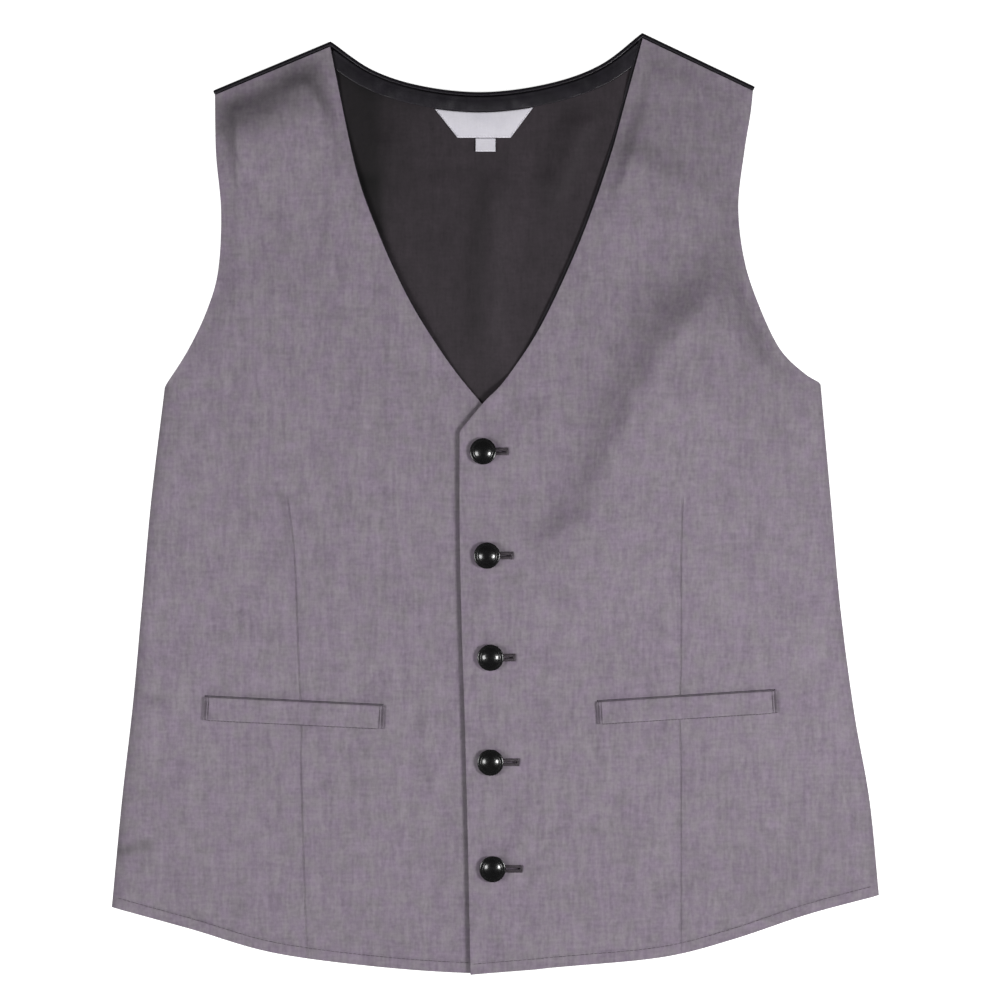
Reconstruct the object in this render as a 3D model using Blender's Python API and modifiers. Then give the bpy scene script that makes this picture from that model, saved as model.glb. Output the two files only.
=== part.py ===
"""A five-button suit waistcoat lying flat with its front upwards, at its real size.

Metres, +Z up. The garment lies on the plane Z = 0, with +Y from the hem to the neck and +X towards the
wearer's left. Each piece that a tailor cuts or sews on is one object: cloth is a sheet with its own wall,
made from short tables of sections, and neighbours stand a seam's gap apart.
"""

import math
from typing import NamedTuple

import bmesh
import bpy
from mathutils import Vector
from mathutils.geometry import intersect_point_line

MM = 0.001
COLLECTION = "suit_waistcoat"

# Walls of the cloth
BACK_WALL = 1.2 * MM
LINING_WALL = 1.0 * MM
FACING_WALL = 1.0 * MM
LABEL_WALL = 1.0 * MM
FRONT_WALL = 1.8 * MM
WELT_WALL = 1.2 * MM
GAP = 0.3 * MM  # between neighbours at a seam, and between layers
SLACK = 0.2 * MM  # added where one soft layer lies on another

# Layers, from the surface up
LINING_UNDER = BACK_WALL + GAP
INNER_REST = LINING_UNDER + LINING_WALL + GAP  # what lies on the lining
NECK_TOP = INNER_REST + FACING_WALL
SHOULDER_REST = NECK_TOP + GAP  # the fronts, where they cross the neck facing
SHOULDER_TOP = SHOULDER_REST + FRONT_WALL

# The back
TURN = 3.0 * MM  # the back cloth turns up this far past the shoulder and neck seams
TURN_LIP = 0.6 * MM  # the flat lip of the turned cloth, beside the seam
TURN_STEPS = 6
CUSP_RUN = 15 * MM  # along the neck, from the shoulder's height to the facing's
BACK_INSET = 1.2 * MM  # the back's sides, in from the fronts'
BACK_HEM_RISE = 6 * MM  # the back's hem, up from the fronts' side corners
BACK_HEM_SAG = 8 * MM
BACK_COLUMNS = 26
BACK_SIDE_ROWS = 10
BACK_ARM_ROWS = 14
LINING_SIDE_SHARE = 0.022  # of the back's width, left bare at each side
LINING_HEM_SHARE = 0.02
LINING_TOP_SHARE = 0.003
FACING_DEPTH = 10.4 * MM
FACING_COLUMNS = 32
FACING_END_SHARE = 0.012
FACING_LOOK = 0.01  # share of the neck, before and after a column, that gives its direction

# The fronts
LOFT = 1.3 * MM  # how far the middle of a front stands off what it lies on
EDGE_SLOPE = 16 * MM  # the width over which it settles at an edge
SEAM_FLAT = 2.0 * MM  # the width that stays flat along the shoulder seam
SIDE_ROLL = 6 * MM  # width of the rounded fold down to the side seam
SIDE_DROP = INNER_REST - BACK_WALL - GAP
HEM_DROP_START = 3 * MM  # below the back's hem, where the fronts go down to the surface
HEM_DROP_RUN = 26 * MM
FACING_RISE_Y = 268 * MM  # the fronts rise over the neck facing from here
FACING_RISE_RUN = 18 * MM
LAP_START = 5 * MM  # past the under front's edge, where the upper front starts to come down
LAP_RUN = 18 * MM
FRONT_COLUMNS = 30
CLOSE_COLUMNS = (0.012, 0.034)  # shares of the width, beside each edge
DART_PULL_COLUMNS = 1.5  # columns on each side that make room for the dart's
DART_WIDTH = 3.5 * MM
DART_DEPTH = 0.6 * MM
FOLD_FADE = 0.16  # share of a fold's length over which it rises from its end
FOLD_END = 0.25  # share of a fold's height that is left at its end

# Welt pockets
WELT_COLUMNS = 12
WELT_ROWS = 2

# Buttons and their holes
BUTTON_FOOT = 6.5 * MM  # radius that rests on the cloth
FOOT_STEPS = 8  # places round the foot where the cloth's height is read
SHANK_RADIUS = 1.2 * MM
BUTTON_STEPS = 24
TURN_MERGE = 0.05 * MM
HOLE_WIDTH = 1.0 * MM
EYELET_RADIUS = 1.7 * MM
EYELET_STEPS = 10
CUTTER_LOW = -1.0 * MM
CUTTER_HEIGHT = 30 * MM

# The label and its tab
LABEL_COLUMNS = 10
LABEL_LEFT_X = -40.9 * MM
LABEL_RIGHT_X = 25.5 * MM
LABEL_BOTTOM_Y = 245.6 * MM
LABEL_BOTTOM_LEFT_X = -25.5 * MM
LABEL_BOTTOM_RIGHT_X = 10.1 * MM
TAB_CENTRE_X = -6.7 * MM
TAB_WIDTH = 13.4 * MM
TAB_LENGTH = 9.0 * MM

# Grids and shading
HEM_PIECES = 6  # of a front's hem between two places of its table
BACK_HEM_PIECES = 8
NECK_PIECES = 3
SHOULDER_PIECES = 4
FOLD_PIECES = 3
SHARP_ANGLE = 40  # degrees, past which an edge is shaded sharp


class Section(NamedTuple):
    """A level of a front, in millimetres: its outer and inner ends, and the grid rows to the next level."""

    outer_x: float
    outer_y: float
    inner_x: float
    inner_y: float
    rows: int


class Spot(NamedTuple):
    """A place on an outline, in millimetres."""

    x: float
    y: float


class Fold(NamedTuple):
    """A soft fold, in millimetres: its route, its height (negative for a trough), and how far it runs out
    on the left and on the right of its route."""

    route: tuple
    height: float
    left_run: float
    right_run: float


class Lift(NamedTuple):
    """How far a front's inner edge stands up, in millimetres: its height, its reach into the cloth, and the
    levels where it starts, is full, starts to fade and ends."""

    height: float
    reach: float
    start_y: float
    full_y: float
    fade_y: float
    end_y: float


class Welt(NamedTuple):
    """A welt pocket's strip: millimetres, and degrees from level."""

    x: float
    y: float
    length: float
    height: float
    tilt: float


class Fastening(NamedTuple):
    """A button's place, and how far its buttonhole runs from its shank, in millimetres."""

    x: float
    y: float
    slit: float


class Profile(NamedTuple):
    """A corner of a button's half section, in millimetres: radius, and height over the cloth."""

    radius: float
    height: float


class Finish(NamedTuple):
    """A plain finish for a piece."""

    colour: tuple
    roughness: float
    metallic: float


# The under front, on the wearer's right: hem to underarm, then underarm to shoulder
RIGHT_SIDE = (
    Section(-257.4, -270.3, 16.1, -312.0, 5),
    Section(-250.6, -198.7, 14.6, -225.0, 4),
    Section(-243.0, -131.7, 13.2, -150.0, 4),
    Section(-237.0, -64.7, 12.0, -75.0, 4),
    Section(-231.0, 2.3, 10.6, -12.0, 4),
    Section(-221.8, 78.7, 8.7, 47.2, 2),
)
RIGHT_ARMHOLE = (
    Section(-221.8, 78.7, 8.7, 47.2, 2),
    Section(-206.4, 102.8, -22.1, 82.7, 2),
    Section(-193.6, 129.6, -43.5, 113.0, 2),
    Section(-186.0, 156.4, -61.0, 143.0, 3),
    Section(-184.0, 196.0, -79.1, 183.2, 3),
    Section(-187.4, 235.0, -94.0, 226.5, 4),
    Section(-188.1, 271.8, -110.3, 304.2, 1),
)
RIGHT_HEM = (
    Spot(-257.4, -270.3),
    Spot(-205.0, -285.0),
    Spot(-150.0, -301.0),
    Spot(-80.0, -310.5),
    Spot(-16.0, -314.8),
    Spot(16.1, -312.0),
)
RIGHT_DART = (
    Spot(-139.4, 4.4),
    Spot(-134.7, -35.2),
    Spot(-132.0, -104.2),
    Spot(-130.0, -149.1),
    Spot(-130.3, -179.9),
    Spot(-126.9, -287.8),
    Spot(-125.5, -304.5),
)
RIGHT_FOLDS = (
    Fold((Spot(-184, 249), Spot(-166, 251), Spot(-150, 257), Spot(-134, 267), Spot(-116, 282)), 6.5, 18, 34),
    Fold((Spot(-251, -231), Spot(-226, -226)), -0.6, 6, 6),
    Fold((Spot(-215, 60), Spot(-150, 30)), 0.6, 22, 22),
    Fold((Spot(-200, -40), Spot(-180, -230)), -0.5, 20, 20),
    Fold((Spot(-60, 60), Spot(-50, -120)), 0.4, 26, 26),
    Fold((Spot(-196, 146), Spot(-155, 138), Spot(-112, 132)), 2.0, 18, 40),
)
RIGHT_LIFT = Lift(2.4, 16, 80, 130, 215, 262)

# The upper front, on the wearer's left
LEFT_SIDE = (
    Section(257.2, -262.3, -16.8, -315.6, 5),
    Section(250.9, -198.7, -18.6, -225.0, 4),
    Section(240.6, -140.0, -20.5, -150.0, 4),
    Section(231.4, -70.0, -22.9, -75.0, 4),
    Section(225.0, 2.0, -24.1, -12.0, 4),
    Section(218.0, 81.0, -24.1, 48.6, 2),
)
LEFT_ARMHOLE = (
    Section(218.0, 81.0, -24.1, 48.6, 1),
    Section(206.0, 88.5, -8.0, 68.0, 1),
    Section(190.0, 105.0, 6.0, 82.7, 2),
    Section(175.5, 136.0, 29.0, 117.0, 3),
    Section(166.5, 165.0, 50.2, 161.0, 2),
    Section(162.8, 200.0, 65.0, 198.0, 2),
    Section(166.8, 236.0, 77.8, 236.0, 2),
    Section(171.0, 262.0, 86.0, 266.0, 2),
    Section(172.4, 274.4, 98.0, 309.8, 1),
)
LEFT_HEM = (
    Spot(-16.8, -315.6),
    Spot(49.0, -310.3),
    Spot(113.0, -304.0),
    Spot(160.0, -292.0),
    Spot(209.7, -275.2),
    Spot(257.2, -262.3),
)
LEFT_DART = (
    Spot(125.3, 4.4),
    Spot(124.3, -35.2),
    Spot(124.3, -104.2),
    Spot(123.4, -135.0),
    Spot(124.3, -192.0),
    Spot(124.3, -299.8),
)
LEFT_FOLDS = (
    Fold(
        (
            Spot(14, -36),
            Spot(37, -29),
            Spot(66, -11),
            Spot(77, 18),
            Spot(90, 48),
            Spot(104, 76),
            Spot(118, 103),
            Spot(140, 130),
            Spot(168, 154),
        ),
        9.0,
        19,
        55,
    ),
    Fold((Spot(70, 24), Spot(93, 78), Spot(107, 105), Spot(136, 138)), 4.0, 30, 24),
    Fold((Spot(118, 48), Spot(150, 84), Spot(178, 106)), 2.0, 34, 30),
    Fold((Spot(72, 240), Spot(104, 222), Spot(144, 198)), 2.2, 12, 26),
    Fold((Spot(84, 250), Spot(106, 242), Spot(134, 230), Spot(166, 217)), 3.2, 42, 46),
    Fold((Spot(190, 70), Spot(150, 20)), 0.5, 20, 20),
    Fold((Spot(190, -30), Spot(176, -220)), -0.5, 22, 22),
)
LEFT_LIFT = Lift(1.4, 16, 80, 130, 215, 262)

# The fold at the top of the back: shoulders, and the neck between them
RIGHT_TIP = Spot(-189.4, 277.2)
LEFT_TIP = Spot(174.0, 279.8)
NECK_FOLD = (
    Spot(-110.6, 310.2),
    Spot(-82.0, 291.0),
    Spot(-48.0, 280.2),
    Spot(-7.0, 276.4),
    Spot(36.0, 282.2),
    Spot(70.0, 294.5),
    Spot(98.4, 315.9),
)

RIGHT_WELT = Welt(-135.1, -139.9, 121.0, 15.6, -2.8)
LEFT_WELT = Welt(128.3, -136.2, 121.0, 15.0, 3.6)

FASTENINGS = (
    Fastening(-8.4, 35.2, 16.1),
    Fastening(-5.7, -34.5, 16.8),
    Fastening(-3.4, -102.8, 15.8),
    Fastening(-3.4, -172.9, 18.4),
    Fastening(-2.0, -244.2, 19.1),
)
BUTTON_PROFILE = (
    Profile(0.0, 4.3),
    Profile(1.3, 4.22),
    Profile(2.6, 4.02),
    Profile(4.0, 3.61),
    Profile(5.2, 3.1),
    Profile(6.1, 2.55),
    Profile(6.5, 2.15),
    Profile(6.9, 2.1),
    Profile(7.5, 2.3),
    Profile(8.2, 2.3),
    Profile(8.8, 2.0),
    Profile(9.0, 1.4),
    Profile(8.4, 0.7),
    Profile(6.5, 0.0),
    Profile(1.2, 0.0),
)

SUITING = Finish((0.246, 0.212, 0.258, 1.0), 0.85, 0.0)
SATIN = Finish((0.018, 0.015, 0.021, 1.0), 0.42, 0.0)
LINING = Finish((0.044, 0.037, 0.042, 1.0), 0.6, 0.0)
BUTTON_BLACK = Finish((0.006, 0.006, 0.007, 1.0), 0.12, 0.0)
LABEL_WHITE = Finish((0.75, 0.73, 0.79, 1.0), 0.7, 0.0)


def in_metres(spots):
    """Returns the table's places as vectors in metres."""
    return [Vector((spot.x, spot.y)) * MM for spot in spots]


def smooth_line(points, steps):
    """Returns a Catmull-Rom curve through the points, with steps[i] pieces between points i and i + 1."""
    ends = [2 * points[0] - points[1], *points, 2 * points[-1] - points[-2]]
    line = [points[0]]
    for index, count in enumerate(steps):
        before, start, end, after = ends[index : index + 4]
        for step in range(1, count + 1):
            t = step / count
            line.append(
                0.5
                * (
                    2 * start
                    + (end - before) * t
                    + (2 * before - 5 * start + 4 * end - after) * t**2
                    + (3 * start - before - 3 * end + after) * t**3
                )
            )
    return line


def evenly_smooth(points, pieces):
    """Returns a Catmull-Rom curve with the same number of pieces between any two of its points."""
    return smooth_line(points, [pieces] * (len(points) - 1))


def along(line, share):
    """Returns the point at this share of a line's length."""
    lengths = [(b - a).length for a, b in zip(line, line[1:])]
    left = share * sum(lengths)
    for start, end, length in zip(line, line[1:], lengths):
        if left <= length:
            return start.lerp(end, left / length)
        left -= length
    return line[-1].copy()


def measure(line, spot):
    """Returns a place's distance from a line, positive on its left, its foot, and the way there."""
    nearest, walked = (math.inf, line[0], 0.0), 0.0
    for start, end in zip(line, line[1:]):
        way = end - start
        share = min(max(intersect_point_line(spot, start, end)[1], 0.0), 1.0)
        foot = start.lerp(end, share)
        away = (spot - foot).length
        if away < abs(nearest[0]):
            nearest = (math.copysign(away, way.cross(spot - foot)), foot, walked + share * way.length)
        walked += way.length
    return nearest


def distance(line, spot):
    """Returns how far a place is from the nearest point of a line."""
    return abs(measure(line, spot)[0])


def x_at_level(line, level):
    """Returns the x where a line that runs down passes a level, or that of its nearer end."""
    if level > line[0].y:
        return line[0].x
    for start, end in zip(line, line[1:]):
        if level >= end.y:
            return start.lerp(end, (start.y - level) / (start.y - end.y)).x
    return line[-1].x


def ease(value):
    """Returns 0 below 0, 1 above 1, and a smooth step between."""
    value = min(max(value, 0.0), 1.0)
    return value * value * (3 - 2 * value)


def bell(value):
    """Returns 1 at 0, and a soft fall to nothing on both sides of it."""
    return math.exp(-value * value)


def outward(line, index):
    """Returns the direction to the left of a line at one of its points, lengthened as a mitre is."""
    before = (line[index] - line[max(index - 1, 0)]).normalized()
    after = (line[min(index + 1, len(line) - 1)] - line[index]).normalized()
    normals = [Vector((-way.y, way.x)) for way in (before, after) if way.length > 0]
    middle = sum(normals, Vector((0.0, 0.0))).normalized()
    return middle / middle.dot(normals[0])


def moved_in(line, by):
    """Returns a line moved to its right by a distance."""
    return [point - outward(line, index) * by for index, point in enumerate(line)]


class Patch:
    """The flat shape between four edges that meet at its corners."""

    def __init__(self, low, high, near, far):
        self.low, self.high, self.near, self.far = low, high, near, far

    def at(self, across, up):
        """Returns the place at these shares of its width and of its rows."""
        row = up * (len(self.near) - 1)
        index = min(int(row), len(self.near) - 2)
        start = self.near[index].lerp(self.near[index + 1], row - index)
        end = self.far[index].lerp(self.far[index + 1], row - index)
        hem = along(self.low, across) - self.low[0].lerp(self.low[-1], across)
        top = along(self.high, across) - self.high[0].lerp(self.high[-1], across)
        return start.lerp(end, across) + hem * (1 - up) ** 2 + top * up**2


class Front:
    """One front: its outline, and the height of its underside at any place."""

    def __init__(self, side, armhole, hem, shoulder, dart, folds, lift, under=None):
        outer, inner = [], []
        for table, last in ((side, None), (armhole, shoulder)):
            outer_points = [Vector((row.outer_x, row.outer_y)) * MM for row in table]
            inner_points = [Vector((row.inner_x, row.inner_y)) * MM for row in table]
            if last:
                outer_points.append(last[0])
                inner_points.append(last[1])
            steps = [row.rows for row in table][: len(outer_points) - 1]
            outer += smooth_line(outer_points, steps)[bool(outer) :]
            inner += smooth_line(inner_points, steps)[bool(inner) :]
            if not last:
                self.underarm = len(outer) - 1
        self.outer, self.inner = outer, inner
        self.hem = evenly_smooth(in_metres(hem), HEM_PIECES)
        self.shoulder = list(shoulder)
        self.side = outer[: self.underarm + 1]
        self.dart = in_metres(dart)
        self.folds = [(fold, evenly_smooth(in_metres(fold.route), FOLD_PIECES)) for fold in folds]
        self.lift = lift
        self.under = under
        self.on_left = outer[0].x > inner[0].x
        if self.on_left:
            self.patch = Patch(self.hem, self.shoulder[::-1], inner, outer)
        else:
            self.patch = Patch(self.hem, self.shoulder, outer, inner)

    def column_shares(self, up):
        """Returns the columns' places across the front at a level, with one on the dart."""
        count = FRONT_COLUMNS - 2 * len(CLOSE_COLUMNS)
        even = [step / count for step in range(1, count)]
        shares = [0.0, *CLOSE_COLUMNS, *even, *(1 - share for share in reversed(CLOSE_COLUMNS)), 1.0]
        low, high = self.patch.at(0.0, up), self.patch.at(1.0, up)
        wanted = (x_at_level(self.dart, low.lerp(high, 0.5).y) - low.x) / (high.x - low.x)
        nearest = min(even, key=lambda share: abs(share - wanted))
        pull = wanted - nearest
        reach = DART_PULL_COLUMNS / count
        return [share + pull * max(0.0, 1 - abs(share - nearest) / reach) for share in shares]

    def relief(self, spot):
        """Returns the height of the cloth's soft form over what it lies on."""
        height = LOFT
        for fold, route in self.folds:
            away, _, walked = measure(route, spot)
            run = (fold.left_run if away > 0 else fold.right_run) * MM
            share = walked / sum((b - a).length for a, b in zip(route, route[1:]))
            fade = ease(share / FOLD_FADE) * ease((1 - share) / FOLD_FADE)
            height += fold.height * MM * bell(away / run) * (FOLD_END + (1 - FOLD_END) * fade)
        height -= DART_DEPTH * bell(distance(self.dart, spot) / DART_WIDTH)
        edge = min(distance(line, spot) for line in (self.outer, self.inner, self.hem))
        edge = max(min(edge, distance(self.shoulder, spot) - SEAM_FLAT), 0.0)
        return max(height, 0.0) * ease(edge / EDGE_SLOPE)

    def lifted(self, spot):
        """Returns how far the spring of the inner edge raises a place."""
        lift, level = self.lift, spot.y / MM
        held = ease((level - lift.start_y) / (lift.full_y - lift.start_y))
        held *= 1 - ease((level - lift.fade_y) / (lift.end_y - lift.fade_y))
        return lift.height * MM * held * bell(distance(self.inner, spot) / (lift.reach * MM))

    def underside(self, spot):
        """Returns the height of the underside at a place."""
        rest = rest_height(spot)
        roll = min(distance(self.side, spot) / SIDE_ROLL, 1.0)
        rest = max(rest - SIDE_DROP * (1 - math.sin(roll * math.pi / 2)), 0.0)
        own = rest + self.relief(spot)
        if self.under is None:
            return own + self.lifted(spot)
        past = max(spot.x - measure(self.under.inner, spot)[1].x, 0.0)
        covered = 1 - ease((past - LAP_START) / LAP_RUN)
        return own + (self.under.top(spot) + GAP + SLACK - own) * covered + self.lifted(spot)

    def top(self, spot):
        """Returns the height of the cloth's face at a place."""
        return self.underside(spot) + FRONT_WALL


def back_hem():
    """Returns the back's hem, a shallow curve between the side seams."""
    right = Vector((RIGHT_HEM[0].x, RIGHT_HEM[0].y)) * MM + Vector((BACK_INSET, BACK_HEM_RISE))
    left = Vector((LEFT_HEM[-1].x, LEFT_HEM[-1].y)) * MM + Vector((-BACK_INSET, BACK_HEM_RISE))
    middle = right.lerp(left, 0.5) - Vector((0.0, BACK_HEM_SAG))
    return evenly_smooth([right, middle, left], BACK_HEM_PIECES)


def rest_height(spot):
    """Returns the height of what a front lies on: the lining, the neck facing, or the surface."""
    hem_y = measure(BACK_HEM, spot)[1].y
    rest = INNER_REST + (SHOULDER_REST - INNER_REST) * ease((spot.y - FACING_RISE_Y) / FACING_RISE_RUN)
    return rest * (1 - ease((hem_y - HEM_DROP_START - spot.y) / HEM_DROP_RUN))


def top_seam():
    """Returns the back's top seam from tip to tip, and where the neck starts and ends in it."""
    tips = in_metres((RIGHT_TIP, LEFT_TIP))
    neck = evenly_smooth(in_metres(NECK_FOLD), NECK_PIECES)
    right = evenly_smooth([tips[0], neck[0]], SHOULDER_PIECES)
    left = evenly_smooth([neck[-1], tips[1]], SHOULDER_PIECES)
    fold = right + neck[1:] + left[1:]
    return moved_in(fold, TURN), SHOULDER_PIECES, SHOULDER_PIECES + len(neck) - 1


def shoulder_edge(tip, neck):
    """Returns a front's shoulder edge, a gap inside the back's seam."""
    way = (neck - tip).normalized()
    inwards = Vector((way.y, -way.x)) * math.copysign(GAP, way.x)
    return tip + inwards, neck + inwards


def new_collection(name, shown=True):
    """Returns a new collection in the scene."""
    collection = bpy.data.collections.new(name)
    bpy.context.scene.collection.children.link(collection)
    collection.hide_render = not shown
    return collection


def material(name, finish):
    """Returns a material with the finish's values."""
    made = bpy.data.materials.new(name)
    made.use_nodes = True
    shader = made.node_tree.nodes["Principled BSDF"]
    shader.inputs["Base Color"].default_value = finish.colour
    shader.inputs["Roughness"].default_value = finish.roughness
    shader.inputs["Metallic"].default_value = finish.metallic
    made.diffuse_color = finish.colour
    return made


def new_object(name, bm, collection, finish):
    """Returns an object that holds the mesh."""
    mesh = bpy.data.meshes.new(name)
    bm.to_mesh(mesh)
    bm.free()
    made = bpy.data.objects.new(name, mesh)
    collection.objects.link(made)
    mesh.materials.append(material(name, finish))
    mesh.shade_smooth()
    return made


def sheet(name, columns, rows, place, wall, finish, face_down=False):
    """Returns a sheet of cloth with a wall: a grid whose corner (i, j) is at place(i, j)."""
    bm = bmesh.new()
    bmesh.ops.create_grid(bm, x_segments=columns, y_segments=rows, size=0.5)
    for corner in bm.verts:
        i = round((corner.co.x + 0.5) * columns)
        j = round((corner.co.y + 0.5) * rows)
        corner.co = place(i, j)
    if face_down:
        bmesh.ops.reverse_faces(bm, faces=bm.faces)
    made = new_object(name, bm, PARTS, finish)
    thicken = made.modifiers.new("wall", "SOLIDIFY")
    thicken.thickness = wall
    thicken.offset = -1.0 if face_down else 1.0
    thicken.use_even_offset = True
    made.data.set_sharp_from_angle(angle=math.radians(SHARP_ANGLE))
    return made


def make_back(right, left, seam, neck_start, neck_end):
    """Makes the outer back, whose shoulder and neck edges turn up and over, and its lining."""
    sides = []
    for front, corner in ((right, BACK_HEM[0]), (left, BACK_HEM[-1])):
        inset = moved_in(front.outer, -BACK_INSET if front.on_left else BACK_INSET)
        side = inset[: front.underarm + 1]
        low = [corner, *(point for point in side if point.y > corner.y + BACK_HEM_RISE)]
        high = inset[front.underarm : -1]
        high.append(seam[-1] if front.on_left else seam[0])
        side = [along(low, step / BACK_SIDE_ROWS) for step in range(BACK_SIDE_ROWS)]
        side += [along(high, step / BACK_ARM_ROWS) for step in range(BACK_ARM_ROWS + 1)]
        sides.append(side)
    patch = Patch(BACK_HEM, seam, sides[0], sides[1])
    flat_rows = BACK_SIDE_ROWS + BACK_ARM_ROWS
    last_row = flat_rows + TURN_STEPS + 2
    columns = len(seam) - 1
    lengths = [0.0]
    for start, end in zip(seam, seam[1:]):
        lengths.append(lengths[-1] + (end - start).length)

    def place(i, j):
        if j <= flat_rows:
            return patch.at(lengths[i] / lengths[-1], j / flat_rows).to_3d()
        step = min(j - flat_rows - 1, TURN_STEPS)
        angle = math.pi * step / TURN_STEPS
        from_cusp = min(max(neck_end - i, 0), max(i - neck_start, 0))
        cusp = seam[neck_start] if i - neck_start < neck_end - i else seam[neck_end]
        fall = ease((seam[i] - cusp).length / CUSP_RUN) if from_cusp else 0.0
        height = SHOULDER_TOP + (NECK_TOP - SHOULDER_TOP) * fall
        lip = TURN_LIP if j < last_row else 0.0
        spot = seam[i] + outward(seam, i) * (lip + (TURN - TURN_LIP) * math.sin(angle))
        return Vector((spot.x, spot.y, height * (1 - math.cos(angle)) / 2))

    sheet("back", columns, last_row, place, BACK_WALL, SATIN, face_down=True)

    def place_lining(i, j):
        across = LINING_SIDE_SHARE + (1 - 2 * LINING_SIDE_SHARE) * i / BACK_COLUMNS
        up = LINING_HEM_SHARE + (1 - LINING_HEM_SHARE - LINING_TOP_SHARE) * j / flat_rows
        spot = patch.at(across, up)
        return Vector((spot.x, spot.y, LINING_UNDER))

    sheet("back_lining", BACK_COLUMNS, flat_rows, place_lining, LINING_WALL, LINING)


def make_facing(neck):
    """Makes the band inside the back neck. Returns its lower edge."""
    upper, lower = [], []
    for step in range(FACING_COLUMNS + 1):
        share = FACING_END_SHARE + (1 - 2 * FACING_END_SHARE) * step / FACING_COLUMNS
        before, spot, after = (along(neck, share + offset) for offset in (-FACING_LOOK, 0.0, FACING_LOOK))
        way = (after - before).normalized()
        inwards = Vector((way.y, -way.x))
        upper.append(spot + inwards * GAP)
        lower.append(spot + inwards * FACING_DEPTH)

    def place(i, j):
        spot = lower[i].lerp(upper[i], j / 2)
        return Vector((spot.x, spot.y, INNER_REST))

    sheet("neck_facing", FACING_COLUMNS, 2, place, FACING_WALL, SATIN)
    return lower


def make_front(name, front):
    """Makes one front."""
    rows = len(front.outer) - 1

    def place(i, j):
        up = j / rows
        spot = front.patch.at(front.column_shares(up)[i], up)
        return Vector((spot.x, spot.y, front.underside(spot)))

    columns = len(front.column_shares(0.5)) - 1
    return sheet(name, columns, rows, place, FRONT_WALL, SUITING)


def make_welt(name, welt, front):
    """Makes a welt on the face of its front."""
    turn = math.radians(welt.tilt)
    way = Vector((math.cos(turn), math.sin(turn)))
    up = Vector((-way.y, way.x))
    middle = Vector((welt.x, welt.y)) * MM

    def place(i, j):
        aside = way * (i / WELT_COLUMNS - 0.5) * welt.length * MM
        spot = middle + aside + up * (j / WELT_ROWS - 0.5) * welt.height * MM
        return Vector((spot.x, spot.y, front.top(spot) + GAP + SLACK))

    sheet(name, WELT_COLUMNS, WELT_ROWS, place, WELT_WALL, SUITING)


def make_button(name, spot, upper, lower):
    """Makes a button on the upper front, with the shank that holds it to the lower one."""
    ring = [spot]
    for step in range(FOOT_STEPS):
        turn = math.tau * step / FOOT_STEPS
        ring.append(spot + Vector((math.cos(turn), math.sin(turn))) * BUTTON_FOOT)
    base = max(upper.top(place) for place in ring) + GAP + SLACK
    foot = lower.top(spot) + GAP - base
    corners = [(row.radius * MM, row.height * MM) for row in BUTTON_PROFILE]
    corners += [(SHANK_RADIUS, foot), (0.0, foot)]
    bm = bmesh.new()
    points = [bm.verts.new((radius, 0.0, height)) for radius, height in corners]
    for start, end in zip(points, points[1:]):
        bm.edges.new((start, end))
    button = new_object(name, bm, PARTS, BUTTON_BLACK)
    button.location = (spot.x, spot.y, base)
    turned = button.modifiers.new("turned", "SCREW")
    turned.steps = turned.render_steps = BUTTON_STEPS
    turned.use_merge_vertices = True
    turned.merge_threshold = TURN_MERGE
    turned.use_smooth_shade = True


def make_hole_cutter(name, spot, slit):
    """Makes the cutter of a keyhole buttonhole: an eye round the shank, and a slit away from the edge."""
    opening = math.asin(HOLE_WIDTH / 2 / EYELET_RADIUS)
    outline = [Vector((slit, -HOLE_WIDTH / 2)), Vector((slit, HOLE_WIDTH / 2))]
    for step in range(EYELET_STEPS + 1):
        turn = opening + (math.tau - 2 * opening) * step / EYELET_STEPS
        outline.append(Vector((math.cos(turn), math.sin(turn))) * EYELET_RADIUS)
    bm = bmesh.new()
    corners = [bm.verts.new((spot.x + point.x, spot.y + point.y, CUTTER_LOW)) for point in outline]
    raised = bmesh.ops.extrude_face_region(bm, geom=[bm.faces.new(corners)])["geom"]
    upper = [item for item in raised if isinstance(item, bmesh.types.BMVert)]
    bmesh.ops.translate(bm, vec=(0, 0, CUTTER_HEIGHT), verts=upper)
    bmesh.ops.recalc_face_normals(bm, faces=bm.faces)
    cutter = new_object(name, bm, CUTTERS, SATIN)
    cutter.hide_render = True
    cutter.display_type = "WIRE"


def make_label(facing_edge):
    """Makes the bare label under the neck facing, and the size tab that hangs from it."""
    top_edge = [point - Vector((0.0, GAP)) for point in facing_edge]

    def top_at(x):
        for start, end in zip(top_edge, top_edge[1:]):
            if start.x <= x <= end.x:
                return start.lerp(end, (x - start.x) / (end.x - start.x))
        return top_edge[-1]

    def place(i, j):
        share = i / LABEL_COLUMNS
        top = top_at(LABEL_LEFT_X + (LABEL_RIGHT_X - LABEL_LEFT_X) * share)
        bottom_x = LABEL_BOTTOM_LEFT_X + (LABEL_BOTTOM_RIGHT_X - LABEL_BOTTOM_LEFT_X) * share
        spot = Vector((bottom_x, LABEL_BOTTOM_Y)).lerp(top, j / 2)
        return Vector((spot.x, spot.y, INNER_REST))

    sheet("label", LABEL_COLUMNS, 2, place, LABEL_WALL, LABEL_WHITE)

    def place_tab(i, j):
        x = TAB_CENTRE_X + (i / 2 - 0.5) * TAB_WIDTH
        return Vector((x, LABEL_BOTTOM_Y - GAP - TAB_LENGTH * (1 - j), INNER_REST))

    sheet("size_tab", 2, 1, place_tab, LABEL_WALL, LABEL_WHITE)


for leftover in list(bpy.data.objects):
    bpy.data.objects.remove(leftover, do_unlink=True)
PARTS = new_collection(COLLECTION)
CUTTERS = new_collection("cutters", shown=False)
BACK_HEM = back_hem()

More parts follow.
